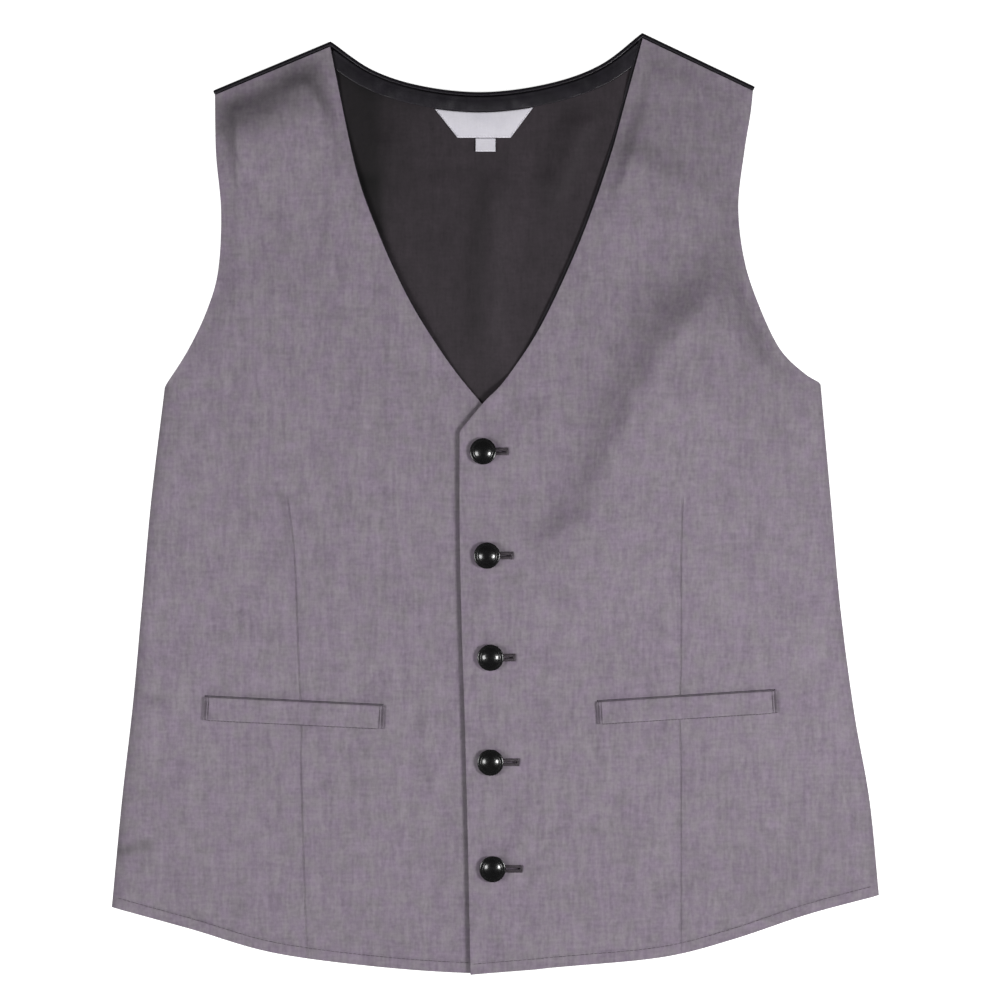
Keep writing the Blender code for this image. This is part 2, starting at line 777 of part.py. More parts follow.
SEAM, NECK_START, NECK_END = top_seam()
RIGHT_SHOULDER = shoulder_edge(SEAM[0], SEAM[NECK_START])
LEFT_SHOULDER = shoulder_edge(SEAM[-1], SEAM[NECK_END])
right_front = Front(
    RIGHT_SIDE, RIGHT_ARMHOLE, RIGHT_HEM, RIGHT_SHOULDER, RIGHT_DART, RIGHT_FOLDS, RIGHT_LIFT
)
left_front = Front(
    LEFT_SIDE, LEFT_ARMHOLE, LEFT_HEM, LEFT_SHOULDER, LEFT_DART, LEFT_FOLDS, LEFT_LIFT, right_front
)

make_back(right_front, left_front, SEAM, NECK_START, NECK_END)
make_label(make_facing(SEAM[NECK_START : NECK_END + 1]))
make_front("right_front", right_front)
upper_cloth = make_front("left_front", left_front)
make_welt("right_welt", RIGHT_WELT, right_front)
make_welt("left_welt", LEFT_WELT, left_front)
for number, fastening in enumerate(FASTENINGS, start=1):
    button_spot = Vector((fastening.x, fastening.y)) * MM
    make_button(f"button_{number}", button_spot, left_front, right_front)
    make_hole_cutter(f"buttonhole_{number}", button_spot, fastening.slit * MM)
holes = upper_cloth.modifiers.new("buttonholes", "BOOLEAN")
holes.operand_type = "COLLECTION"
holes.collection = CUTTERS
holes.operation = "DIFFERENCE"
holes.solver = "EXACT"
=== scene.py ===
"""Dresses a packed suit waistcoat: two-tone cloth, satin, lining, buttons and sewing, in soft light.

Metres, +Z up. The garment lies on Z = 0, with +Y from the hem to the neck and +X towards the wearer's left.
Each sub-assembly is a class that holds its own sizes. Tables of places and folds are in millimetres. Each
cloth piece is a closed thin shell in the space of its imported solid, and every stitch is its own thread.
"""

import logging
import math
from dataclasses import dataclass, field
from enum import Enum
from functools import cache
from typing import Iterable, NamedTuple, Sequence

import bpy
import numpy as np
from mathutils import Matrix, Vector

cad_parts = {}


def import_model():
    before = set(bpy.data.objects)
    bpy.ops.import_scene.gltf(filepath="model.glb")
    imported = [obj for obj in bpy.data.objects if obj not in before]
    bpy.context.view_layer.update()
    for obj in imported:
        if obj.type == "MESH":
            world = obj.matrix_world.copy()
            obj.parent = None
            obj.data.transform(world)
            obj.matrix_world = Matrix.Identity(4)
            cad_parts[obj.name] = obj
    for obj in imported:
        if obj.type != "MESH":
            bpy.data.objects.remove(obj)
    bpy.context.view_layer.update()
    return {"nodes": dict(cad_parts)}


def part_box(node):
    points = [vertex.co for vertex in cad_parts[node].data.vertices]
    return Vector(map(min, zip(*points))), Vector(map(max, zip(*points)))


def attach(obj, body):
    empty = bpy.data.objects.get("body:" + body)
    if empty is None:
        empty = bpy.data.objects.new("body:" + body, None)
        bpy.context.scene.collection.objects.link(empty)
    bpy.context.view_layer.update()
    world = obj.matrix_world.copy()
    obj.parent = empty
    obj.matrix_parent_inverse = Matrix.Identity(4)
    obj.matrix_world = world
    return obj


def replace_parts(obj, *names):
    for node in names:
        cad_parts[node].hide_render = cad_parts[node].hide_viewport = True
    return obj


LOG = logging.getLogger("waistcoat")
BODY = "root"
MM = 0.001
PAINTED_SHADE = "fall"  # the attribute of painted shade, which darkens a cloth's colour
STEEP = 0.3  # how far a normal leans where the cloth counts as steep and gets its full painted shade
FOLD_FADE = 0.16  # the share of its route over which a fold fades at each end
FOLD_LEFT = 0.25  # the share of its height that is left there
FOLD_PIECES = 6  # straight pieces between two places of a fold, a dart and an edge
DART_PIECES = 5
EDGE_PIECES = 12

Points = np.ndarray
Pair = tuple[float, float]
Row = tuple[float, float, float, float]
Colour = tuple[float, float, float]
Piece = bpy.types.Object
Material = bpy.types.Material
Socket = bpy.types.NodeSocket


class Fold(NamedTuple):
    """A soft fold, in millimetres: its height (negative for a trough), how far it runs out on the left and on
    the right of its route, and the route. A painted shade is given the same way, with its height in
    hundredths of the cloth's colour that it paints darker, and lighter where negative."""

    height: float
    left_run: float
    right_run: float
    route: tuple[Pair, ...]


class Strip(NamedTuple):
    """A welt's middle and size, in millimetres, and its tilt in degrees from level."""

    x: float
    y: float
    length: float
    height: float
    tilt: float


class Fastening(NamedTuple):
    """A button's place and how far its buttonhole reaches past it (millimetres), and its lean (degrees)."""

    x: float
    y: float
    reach: float
    lean: float


@dataclass(frozen=True)
class Pattern:
    """A front's tables, in millimetres, from the hem up. A row of its side or its armhole holds a level's
    outer end and its inner end."""

    side: tuple[Row, ...]
    armhole: tuple[Row, ...]
    hem: tuple[Pair, ...]
    dart: tuple[Pair, ...]
    dart_top: Pair
    folds: tuple[Fold, ...]
    painted_shades: tuple[Fold, ...]
    welt: Strip
    edge_lift: float
    strip_shown: float
    side_shade: float


RIGHT = Pattern(
    side=(
        (-257.4, -270.3, 16.1, -312.0),
        (-250.6, -198.7, 14.6, -225.0),
        (-243.0, -131.7, 13.2, -150.0),
        (-237.0, -64.7, 12.0, -75.0),
        (-231.0, 2.3, 10.6, -12.0),
        (-221.8, 78.7, 8.7, 47.2),
    ),
    armhole=(
        (-206.4, 102.8, -22.1, 82.7),
        (-193.6, 129.6, -43.5, 113.0),
        (-186.0, 156.4, -61.0, 143.0),
        (-184.0, 196.0, -79.1, 183.2),
        (-187.4, 235.0, -94.0, 226.5),
    ),
    hem=((-257.4, -270.3), (-205, -285), (-150, -301), (-80, -310.5), (-16, -314.8), (16.1, -312)),
    dart=(
        (-139.4, 4.4),
        (-134.7, -35.2),
        (-132.0, -104.2),
        (-130.0, -149.1),
        (-130.3, -179.9),
        (-126.9, -287.8),
        (-125.5, -304.5),
    ),
    dart_top=(-148.0, 290.0),
    folds=(
        Fold(6.5, 18, 34, ((-184, 249), (-166, 251), (-150, 257), (-134, 267), (-116, 282))),
        Fold(-1.2, 5, 6, ((-252, -232), (-228, -226))),
        Fold(-0.8, 3.5, 4, ((-240, -128), (-216, -130))),
        Fold(0.6, 22, 22, ((-215, 60), (-150, 30))),
        Fold(-0.5, 20, 20, ((-200, -40), (-180, -230))),
        Fold(0.4, 26, 26, ((-60, 60), (-50, -120))),
        Fold(2.0, 18, 40, ((-196, 146), (-155, 138), (-112, 132))),
        Fold(-1.0, 5, 5, ((-143, 14), (-137, -12), (-134, -38))),
    ),
    # painted shade: the dark band along the shoulder seam, creases, the dart's top, the hem's corner, and the
    # shadow of the upper front's edge on the lap
    painted_shades=(
        Fold(36, 16, 17, ((-196, 257), (-158, 267), (-112, 293))),
        Fold(24, 3, 5, ((-256, -234), (-230, -226))),
        Fold(3.5, 30, 40, ((-264, -222), (-228, -238), (-190, -262))),
        Fold(9, 3, 3, ((-242, -128), (-214, -131))),
        Fold(12, 3, 3, ((-148, 16), (-141, -4), (-138, -32))),
        Fold(
            16,
            8,
            2.2,
            (
                (6, 86),
                (-9, 69.5),
                (-25, 49),
                (-25.2, -12),
                (-23.9, -75),
                (-21.5, -150),
                (-19.6, -225),
                (-17.8, -330),
            ),
        ),
    ),
    welt=Strip(-135.1, -139.9, 121.0, 15.6, -2.8),
    edge_lift=2.4,
    strip_shown=0.7,
    side_shade=0.24,
)
LEFT = Pattern(
    side=(
        (257.2, -262.3, -16.8, -315.6),
        (250.9, -198.7, -18.6, -225.0),
        (240.6, -140.0, -20.5, -150.0),
        (231.4, -70.0, -22.9, -75.0),
        (225.0, 2.0, -24.1, -12.0),
        (218.0, 81.0, -24.1, 48.6),
    ),
    armhole=(
        (206.0, 88.5, -8.0, 68.0),
        (190.0, 105.0, 6.0, 82.7),
        (175.5, 136.0, 29.0, 117.0),
        (166.5, 165.0, 50.2, 161.0),
        (162.8, 200.0, 65.0, 198.0),
        (166.8, 236.0, 77.8, 236.0),
        (171.0, 262.0, 86.0, 266.0),
    ),
    hem=((-16.8, -315.6), (49, -310.3), (113, -304), (160, -292), (209.7, -275.2), (257.2, -262.3)),
    dart=((125.3, 4.4), (124.3, -35.2), (124.3, -104.2), (123.4, -135), (124.3, -192), (124.3, -299.8)),
    dart_top=(134.0, 290.0),
    folds=(
        Fold(
            9.0,
            19,
            55,
            (
                (14, -36),
                (37, -29),
                (66, -11),
                (77, 18),
                (90, 48),
                (104, 76),
                (118, 103),
                (140, 130),
                (168, 154),
            ),
        ),
        Fold(4.0, 30, 24, ((70, 24), (93, 78), (107, 105), (136, 138))),
        Fold(2.0, 34, 30, ((118, 48), (150, 84), (178, 106))),
        Fold(2.2, 12, 26, ((72, 240), (104, 222), (144, 198))),
        Fold(3.2, 42, 46, ((84, 250), (106, 242), (134, 230), (166, 217))),
        Fold(0.5, 20, 20, ((190, 70), (150, 20))),
        Fold(-0.5, 22, 22, ((190, -30), (176, -220))),
        Fold(-0.8, 4, 5, ((232, -163), (237, -192))),
        Fold(1.4, 14, 30, ((128, -272), (165, -246), (204, -230))),
    ),
    # painted shade: on the shoulder and its crease, beside the big fold, and at the hem's corner
    painted_shades=(
        Fold(9, 60, 46, ((62, 276), (112, 240), (160, 196), (186, 170))),
        Fold(9, 7, 10, ((72, 248), (98, 238), (130, 222))),
        Fold(7, 26, 22, ((100, 120), (132, 150), (176, 176))),
        Fold(8, 40, 26, ((120, 110), (166, 76), (210, 56))),
        Fold(6, 36, 40, ((156, -266), (214, -240), (266, -212))),
    ),
    welt=Strip(128.3, -136.2, 121.0, 15.0, 3.6),
    edge_lift=1.4,
    strip_shown=1.9,
    side_shade=0.08,
)
LINING_FOLDS = (
    Fold(1.8, 9, 7, ((0, 226), (-4, 163), (-6, 105))),
    Fold(1.6, 8, 12, ((60, 262), (50, 236), (36, 204))),
    Fold(1.2, 5, 16, ((-70, 250), (-74, 215), (-72, 180))),
    Fold(0.8, 14, 12, ((-40, 225), (-42, 180), (-30, 130))),
)
# Painted shade on the lining: the shadow beside the wearer's right front edge, the shade under the neck band,
# and darker bands; negative ones are painted light.
LINING_PAINTED_SHADES = (
    Fold(38, 7, 80, ((-84, 318), (-82.5, 262), (-81, 205), (-79, 166))),
    Fold(24, 20, 80, ((-78, 310), (-76, 262), (-76, 236), (-78, 200))),
    Fold(27, 3.5, 80, ((-80.5, 226), (-79, 200), (-77, 182), (-74, 166))),
    Fold(18, 8, 7, ((-112, 302), (-82, 278), (-48, 267), (-26, 263))),
    Fold(21, 7, 9, ((-7, 226), (-12, 163), (-16, 100))),
    Fold(-14, 10, 8, ((7, 200), (5.4, 136), (4.7, 75))),
    Fold(16, 8, 8, ((57, 280), (44, 244), (28, 200))),
    Fold(-8, 9, 9, ((20, 250), (19, 200), (14, 160))),
)
FASTENINGS = (
    Fastening(-8.4, 35.2, 17.1, 3.0),
    Fastening(-5.7, -34.5, 17.8, 0.0),
    Fastening(-3.4, -102.8, 16.8, -2.0),
    Fastening(-3.4, -172.9, 19.4, -2.0),
    Fastening(-2.0, -244.2, 20.1, -4.0),
)


# ---- Lines and shapes on the flat garment ----


def in_metres(rows: Iterable[Sequence[float]]) -> Points:
    """Returns a table in millimetres as an array of metres."""
    return np.array(list(rows)) * MM


def ease(value: Points | float) -> Points:
    """Returns 0 below 0, 1 above 1, and a smooth step between."""
    held = np.clip(value, 0.0, 1.0)
    return held * held * (3 - 2 * held)


def bell(away: Points, run: Points | float) -> Points:
    """Returns 1 at no distance, and a smooth fall to 0 over a run."""
    return np.exp(-((away / run) ** 2))


def smooth_line(points: Points, pieces: int) -> Points:
    """Draws a Catmull-Rom curve through points.

    Args:
        points: The places it passes.
        pieces: How many straight pieces lie between two places.

    Returns:
        The curve's points, ends included.
    """
    ends = np.vstack([2 * points[0] - points[1], points, 2 * points[-1] - points[-2]])
    t = np.linspace(0.0, 1.0, pieces, endpoint=False)[:, None]
    runs = []
    for before, start, end, after in zip(ends, ends[1:], ends[2:], ends[3:]):
        square = 2 * before - 5 * start + 4 * end - after
        cube = 3 * start - before - 3 * end + after
        runs.append(0.5 * (2 * start + (end - before) * t + square * t**2 + cube * t**3))
    return np.vstack([*runs, points[-1:]])


class Line:
    """A line on the flat garment, which can be measured along and from."""

    def __init__(self, points: Points) -> None:
        """Keeps the points and their distances along the line."""
        self.points = points
        self.steps = np.concatenate([[0.0], np.cumsum(np.linalg.norm(np.diff(points, axis=0), axis=1))])

    @property
    def length(self) -> float:
        """The line's length in metres."""
        return float(self.steps[-1])

    def at(self, distance: Points) -> Points:
        """Returns the places at these distances along the line."""
        return np.stack([np.interp(distance, self.steps, axis) for axis in self.points.T], axis=-1)

    def way(self, distance: Points) -> Points:
        """Returns the directions of travel at these distances along the line."""
        reach = 0.6 * MM
        ways = self.at(distance + reach) - self.at(distance - reach)
        return ways / np.linalg.norm(ways, axis=-1, keepdims=True)

    def measure(self, spots: Points) -> tuple[Points, Points, Points]:
        """Measures places from the line.

        Args:
            spots: One row for each place.

        Returns:
            Each place's distance (positive on the line's left), its foot on the line, and how far along the
            foot lies.
        """
        best = np.full(len(spots), np.inf)
        signed, feet, along = np.zeros(len(spots)), np.zeros_like(spots), np.zeros(len(spots))
        for index, (start, end) in enumerate(zip(self.points, self.points[1:])):
            way = end - start
            size = way @ way
            if size == 0.0:
                continue
            share = np.clip((spots - start) @ way / size, 0.0, 1.0)
            foot = start + share[:, None] * way
            gap = spots - foot
            away = np.hypot(gap[:, 0], gap[:, 1])
            nearer = away < best
            left = way[0] * gap[:, 1] - way[1] * gap[:, 0]
            best[nearer] = away[nearer]
            signed[nearer] = np.copysign(away, left)[nearer]
            feet[nearer] = foot[nearer]
            along[nearer] = (self.steps[index] + share * math.sqrt(size))[nearer]
        return signed, feet, along

    def away(self, spots: Points) -> Points:
        """Returns each place's distance from the line."""
        return np.abs(self.measure(spots)[0])

    def moved(self, left: float) -> "Line":
        """Returns the line moved to its left by a distance, mitred at its corners."""
        ways = np.diff(self.points, axis=0)
        ways /= np.linalg.norm(ways, axis=1, keepdims=True)
        before, after = np.vstack([ways[:1], ways]), np.vstack([ways, ways[-1:]])
        normals = turned_left(before + after)
        normals /= np.linalg.norm(normals, axis=1, keepdims=True)
        mitre = 1 / np.sum(normals * turned_left(before), axis=1)
        return Line(self.points + normals * (mitre * left)[:, None])


def turned_left(ways: Points) -> Points:
    """Returns directions turned a quarter to the left."""
    return np.stack([-ways[:, 1], ways[:, 0]], axis=1)


def nearest(lines: Iterable[Line], spots: Points) -> Points:
    """Returns each place's distance from the nearest of some lines."""
    return np.min([line.away(spots) for line in lines], axis=0)


def fold_heights(folds: Iterable[Fold], spots: Points) -> Points:
    """Adds up how far folds raise each place."""
    height = np.zeros(len(spots))
    for fold in folds:
        route = Line(smooth_line(in_metres(fold.route), FOLD_PIECES))
        signed, _, along = route.measure(spots)
        run = np.where(signed > 0, fold.left_run, fold.right_run) * MM
        share = along / route.length
        fade = ease(share / FOLD_FADE) * ease((1 - share) / FOLD_FADE)
        height += fold.height * MM * bell(signed, run) * (FOLD_LEFT + (1 - FOLD_LEFT) * fade)
    return height


class Patch:
    """The flat shape between four edges that meet at its corners."""

    def __init__(self, low: Points, high: Points, near: Points, far: Points) -> None:
        """Keeps the edges: low and high run from near to far, and near and far run from low to high."""
        self.low, self.high = Line(low), Line(high)
        self.near, self.far = near, far
        self.levels = Line(0.5 * (near + far))
        self.shares = np.linspace(0.0, 1.0, len(near))

    def rows(self, distances: Points) -> Points:
        """Turns distances up the middle of the patch into shares of its levels."""
        return np.interp(distances, self.levels.steps, self.shares)

    def ends(self, up: Points) -> list[Points]:
        """Returns the near and far ends of the rows at these shares of the levels."""
        sides = (self.near, self.far)
        return [np.stack([np.interp(up, self.shares, axis) for axis in side.T], axis=-1) for side in sides]

    def at(self, across: Points, up: Points) -> Points:
        """Places a grid on the patch.

        Args:
            across: Shares of the width, for all rows of the grid or one row of them for each.
            up: The rows' shares of the levels.

        Returns:
            An array of rows, columns and two coordinates.
        """
        across = np.broadcast_to(across, (len(up), np.shape(across)[-1]))
        near, far = self.ends(up)
        spots = near[:, None] + (far - near)[:, None] * across[..., None]
        for edge, weight in ((self.low, (1 - up) ** 2), (self.high, up**2)):
            first, last = edge.points[0], edge.points[-1]
            bow = edge.at(across * edge.length) - (first + (last - first) * across[..., None])
            spots = spots + bow * weight[:, None, None]
        return spots


def spaced(length: float, cell: float, close: Points) -> Points:
    """Spaces a grid's lines along a length, closer beside both ends.

    Args:
        length: The whole length in metres.
        cell: The spacing wanted in the middle.
        close: Distances of the close lines from each end, from 0 up.

    Returns:
        The lines' distances from the start.
    """
    count = max(2, round((length - 2 * close[-1]) / cell))
    middle = np.linspace(close[-1], length - close[-1], count + 1)[1:-1]
    return np.concatenate([close, middle, length - close[::-1]])


def end_shares(close: Sequence[float], start: float, count: int) -> Points:
    """Spaces shares from 0 to 1: close beside both ends, and even ones from a start to its mirror."""
    return np.concatenate([close, np.linspace(start, 1 - start, count), 1 - np.array(close)[::-1]])


# ---- Meshes ----


def start_afresh() -> None:
    """Leaves nothing selected, so that an operator meets only what the next call makes."""
    if bpy.context.object and bpy.context.object.mode != "OBJECT":
        bpy.ops.object.mode_set(mode="OBJECT")
    bpy.ops.object.select_all(action="DESELECT")


def edit_all() -> None:
    """Opens the active object's mesh with all of it selected."""
    bpy.ops.object.mode_set(mode="EDIT")
    bpy.ops.mesh.select_all(action="SELECT")


def link(name: str, data: bpy.types.ID) -> Piece:
    """Puts a mesh, a lamp or a camera into the scene as an object."""
    made = bpy.data.objects.new(name, data)
    bpy.context.scene.collection.objects.link(made)
    return made


def discard(piece: Piece) -> None:
    """Removes an object and its mesh."""
    mesh = piece.data
    bpy.data.objects.remove(piece)
    bpy.data.meshes.remove(mesh)


def new_piece(name: str, corners: Points, faces: Iterable[Sequence[int]], smooth: bool = True) -> Piece:
    """Makes a mesh object with its place in its mesh.

    Args:
        name: The piece's name.
        corners: One row of three coordinates for each corner.
        faces: The corners of each face, in order.
        smooth: Whether it is shaded smooth.

    Returns:
        The object, in the scene.
    """
    mesh = bpy.data.meshes.new(name)
    mesh.from_pydata(corners.tolist(), [], [tuple(map(int, face)) for face in faces])
    mesh.update()
    if smooth:
        mesh.shade_smooth()
    return link(name, mesh)


def corners_of(mesh: bpy.types.Mesh) -> Points:
    """Returns a mesh's corners, one row each."""
    places = np.empty(len(mesh.vertices) * 3)
    mesh.vertices.foreach_get("co", places)
    return places.reshape(-1, 3)


def quads(grid: Points) -> Points:
    """Returns the faces of a grid of corner numbers, facing up where columns run right and rows run up."""
    faces = np.stack([grid[:-1, :-1], grid[:-1, 1:], grid[1:, 1:], grid[1:, :-1]], axis=-1)
    return faces.reshape(-1, 4)


def with_height(spots: Points, height: Points | float) -> Points:
    """Joins places and their heights into three coordinates."""
    return np.concatenate([spots, np.broadcast_to(height, spots.shape[:-1])[..., None]], axis=-1)


def shell(name: str, top: Points, bottom: Points) -> Piece:
    """Makes a closed shell from two grids that share their border, which is taken from the upper one.

    Args:
        name: The piece's name.
        top: The upper grid: rows, columns and three coordinates.
        bottom: The lower grid, of the same size.

    Returns:
        The object.
    """
    rows, columns = top.shape[:2]
    upper = np.arange(rows * columns).reshape(rows, columns)
    lower = upper.copy()
    lower[1:-1, 1:-1] = rows * columns + np.arange((rows - 2) * (columns - 2)).reshape(rows - 2, columns - 2)
    corners = np.vstack([top.reshape(-1, 3), bottom[1:-1, 1:-1].reshape(-1, 3)])
    faces = [quads(upper), quads(lower)[:, ::-1]]
    across, up = top[0, 1] - top[0, 0], top[1, 0] - top[0, 0]
    if across[0] * up[1] < across[1] * up[0]:
        faces = [side[:, ::-1] for side in faces]
    return new_piece(name, corners, np.vstack(faces))


def slab(name: str, spots: Points, centre: Points, half: Points, raised: Points | float = 0.0) -> Piece:
    """Makes a closed shell over a grid of places.

    Args:
        name: The piece's name.
        spots: Rows, columns and two coordinates.
        centre: The height of the wall's middle at each place.
        half: Half the wall's thickness there, nothing along the border.
        raised: Relief of the upper face inside the border.

    Returns:
        The object.
    """
    top = with_height(spots, centre + half + raised * (half > 0))
    return shell(name, top, with_height(spots, centre - half))


def closed(shape: tuple[int, int], half: Points | float) -> Points:
    """Returns a grid of half thicknesses that close to nothing along its border."""
    grid = np.full(shape, half)
    grid[0] = grid[-1] = 0.0
    grid[:, 0] = grid[:, -1] = 0.0
    return grid


def rounded(away: Points, wall: float) -> Points:
    """Returns the half thickness of a wall whose folded edge is round, at a distance from that edge."""
    radius = wall / 2
    inside = np.clip(1 - away / radius, 0.0, 1.0)
    return radius * np.sqrt(1 - inside**2)


@dataclass
class Needle:
    """Makes stitches, each a small closed tube that arches up in its middle."""

    sides: int = 6
    rings: int = 5
    blunt: float = 0.15

    def stitch(self) -> tuple[Points, Points]:
        """Models one stitch of unit length along X, for a thread of unit radius.

        Returns:
            Its corners and its triangles.
        """
        start_afresh()
        bpy.ops.mesh.primitive_cylinder_add(
            vertices=self.sides, radius=1.0, depth=1.0, end_fill_type="TRIFAN", rotation=(0, math.pi / 2, 0)
        )
        made = bpy.context.object
        bpy.ops.object.transform_apply(location=False, rotation=True, scale=False)
        bpy.ops.object.mode_set(mode="EDIT")
        bpy.ops.mesh.select_all(action="DESELECT")
        bpy.ops.object.mode_set(mode="OBJECT")
        for edge in made.data.edges:
            first, last = (made.data.vertices[corner].co for corner in edge.vertices)
            edge.select = abs(first.x - last.x) > 0.5
        bpy.ops.object.mode_set(mode="EDIT")
        bpy.ops.mesh.select_mode(type="EDGE")
        bpy.ops.mesh.subdivide(number_cuts=self.rings)
        bpy.ops.mesh.select_all(action="SELECT")
        bpy.ops.mesh.quads_convert_to_tris()
        bpy.ops.object.mode_set(mode="OBJECT")
        corners = corners_of(made.data)
        faces = np.array([tuple(face.vertices) for face in made.data.polygons])
        discard(made)
        taper = np.sqrt(np.clip(1 - (2 * np.abs(corners[:, 0])) ** 4, self.blunt, 1.0))
        corners[:, 1:] *= taper[:, None]
        return corners, faces

    def run(
        self, name: str, centres: Points, ways: Points, length: Points | float, radius: float, arch: float
    ) -> Piece:
        """Sews a run of stitches as one mesh.

        Args:
            name: The piece's name.
            centres: Each stitch's middle on the cloth's face, three coordinates.
            ways: Each stitch's direction, or one for all, of unit length.
            length: Each stitch's length, or one for all.
            radius: The thread's radius.
            arch: How high a stitch's middle stands over its ends.

        Returns:
            The object.
        """
        corners, faces = self.stitch()
        rise = arch * (1 - (2 * corners[:, 0]) ** 2) - arch * 0.5
        length = np.broadcast_to(length, len(centres))
        ways = np.broadcast_to(ways, centres.shape)
        side = np.cross((0.0, 0.0, 1.0), ways)
        side /= np.linalg.norm(side, axis=1, keepdims=True)
        top = np.cross(ways, side)
        placed = (
            centres[:, None]
            + ways[:, None] * (corners[:, 0] * length[:, None])[..., None]
            + side[:, None] * (corners[:, 1] * radius)[None, :, None]
            + top[:, None] * (corners[:, 2] * radius + rise)[None, :, None]
        )
        starts = np.arange(len(centres)) * len(corners)
        every_face = (starts[:, None, None] + faces[None]).reshape(-1, faces.shape[1])
        return new_piece(name, placed.reshape(-1, 3), every_face)


# ---- Materials ----


class Graph:
    """A node tree that is being wired, with short calls for the nodes that cloth needs."""

    def __init__(self, tree: bpy.types.NodeTree) -> None:
        """Keeps the tree."""
        self.tree = tree

    def feed(self, node: bpy.types.Node, values: dict[object, object]) -> None:
        """Links or sets a node's inputs, by name or number: a socket is linked, and a value is set."""
        for name, value in values.items():
            if isinstance(value, Socket):
                self.tree.links.new(value, node.inputs[name])
            else:
                node.inputs[name].default_value = value

    def node(self, kind: str, values: dict[object, object], **settings: object) -> bpy.types.Node:
        """Adds a node.

        Args:
            kind: The node's type, without its ShaderNode prefix.
            values: Its inputs, as feed takes them.
            settings: The node's own settings.

        Returns:
            The node.
        """
        made = self.tree.nodes.new("ShaderNode" + kind)
        for name, value in settings.items():
            setattr(made, name, value)
        self.feed(made, values)
        return made

    def sum(self, operation: str, *terms: object) -> Socket:
        """Returns the result of a maths node on these terms."""
        return self.node("Math", dict(enumerate(terms)), operation=operation).outputs[0]

    def scale(self, vector: Socket, by: object) -> Socket:
        """Returns a vector or a colour times a number."""
        return self.node("VectorMath", {0: vector, "Scale": by}, operation="SCALE").outputs[0]

    def stretch(self, vector: Socket, scale: Colour, turn: float = 0.0) -> Socket:
        """Returns coordinates turned about Z and then scaled along each axis."""
        if turn:
            turning = self.node("VectorRotate", {"Vector": vector, "Angle": turn}, rotation_type="Z_AXIS")
            vector = turning.outputs[0]
        return self.node("VectorMath", {0: vector, 1: scale}, operation="MULTIPLY").outputs[0]

    def noise(self, vector: Socket, detail: float = 2.0, rough: float = 0.5) -> Socket:
        """Returns a noise about 0.5 over coordinates in its own units."""
        values = {"Vector": vector, "Scale": 1.0, "Detail": detail, "Roughness": rough}
        return self.node("TexNoise", values, normalize=True).outputs["Fac"]

    def remap(self, value: Socket, given: Pair, wanted: Pair = (0.0, 1.0)) -> Socket:
        """Returns a value remapped from one range to another, held within it."""
        (low, high), (to_low, to_high) = given, wanted
        values = {"Value": value, "From Min": low, "From Max": high, "To Min": to_low, "To Max": to_high}
        return self.node("MapRange", values).outputs["Result"]

    def mix(self, share: Socket, first: Sequence[float], second: Sequence[float]) -> Socket:
        """Returns a mix of two colours."""
        mixer = self.node("Mix", {"Factor": share}, data_type="RGBA")
        for name, colour in (("A", first), ("B", second)):
            slots = [slot for slot in mixer.inputs if slot.name == name and slot.type == "RGBA"]
            slots[0].default_value = colour
        return [out for out in mixer.outputs if out.type == "RGBA"][0]


class Weave(Enum):
    """How a cloth is woven, which is what its fine relief shows."""

    PLAIN = "plain"
    TWILL = "twill"
    SATIN = "satin"


class Streak(NamedTuple):
    """One scale of unevenness in a cloth: its width and length in yarns, and how much it counts."""

    across: float
    along: float
    weight: float


STREAKS = (
    Streak(1.9, 9.0, 0.46),
    Streak(4.0, 36.0, 0.34),
    Streak(12.0, 2.2, 0.32),
    Streak(2.2, 2.2, 0.40),
    Streak(9.0, 14.0, 0.30),
)
STREAK_STEP = (7.3, 3.1)  # how far the noise moves from one scale to the next
TWILL_SLOPE = 0.8
TINT_OF_TONE = 0.6  # how far the tint follows the tone


def new_group(
    name: str, takes: Sequence[str], gives: Sequence[str]
) -> tuple[Graph, dict[str, Socket], bpy.types.Node]:
    """Starts a shader node group.

    Args:
        name: The group's name.
        takes: Its inputs' names: a vector, and then numbers.
        gives: Its outputs' names, all numbers.

    Returns:
        The group's graph, its inputs by name, and its output node.
    """
    tree = bpy.data.node_groups.new(name, "ShaderNodeTree")
    for labels, direction in ((takes, "INPUT"), (gives, "OUTPUT")):
        for label in labels:
            kind = "NodeSocketVector" if label == "Vector" else "NodeSocketFloat"
            tree.interface.new_socket(name=label, in_out=direction, socket_type=kind)
    given = tree.nodes.new("NodeGroupInput").outputs
    return Graph(tree), {label: given[label] for label in takes}, tree.nodes.new("NodeGroupOutput")


@cache
def slub_group() -> bpy.types.NodeTree:
    """Makes the group of uneven yarns: streaks along the warp and the weft, specks and blotches.

    Returns:
        A group that takes coordinates, a yarn's width and a patch's size, and gives a tone and a tint,
        both about 0.
    """
    graph, given, result = new_group("uneven_yarn", ("Vector", "Yarn", "Patch"), ("Tone", "Tint"))
    in_yarns = graph.scale(given["Vector"], graph.sum("DIVIDE", 1.0, given["Yarn"]))
    in_patches = graph.scale(given["Vector"], graph.sum("DIVIDE", 1.0, given["Patch"]))
    tone = None
    for number, streak in enumerate(STREAKS):
        scaled = graph.stretch(in_yarns, (1 / streak.across, 1 / streak.along, 1 / streak.across))
        step = (STREAK_STEP[0] * number, STREAK_STEP[1] * number, 0.0)
        moved = graph.node("VectorMath", {0: scaled, 1: step}, operation="ADD").outputs[0]
        part = graph.sum("MULTIPLY", graph.sum("SUBTRACT", graph.noise(moved), 0.5), streak.weight)
        tone = part if tone is None else graph.sum("ADD", tone, part)
    tint = graph.sum("SUBTRACT", graph.noise(in_patches), 0.5)
    tint = graph.sum("ADD", tint, graph.sum("MULTIPLY", tone, TINT_OF_TONE))
    graph.feed(result, {"Tone": tone, "Tint": tint})
    return graph.tree


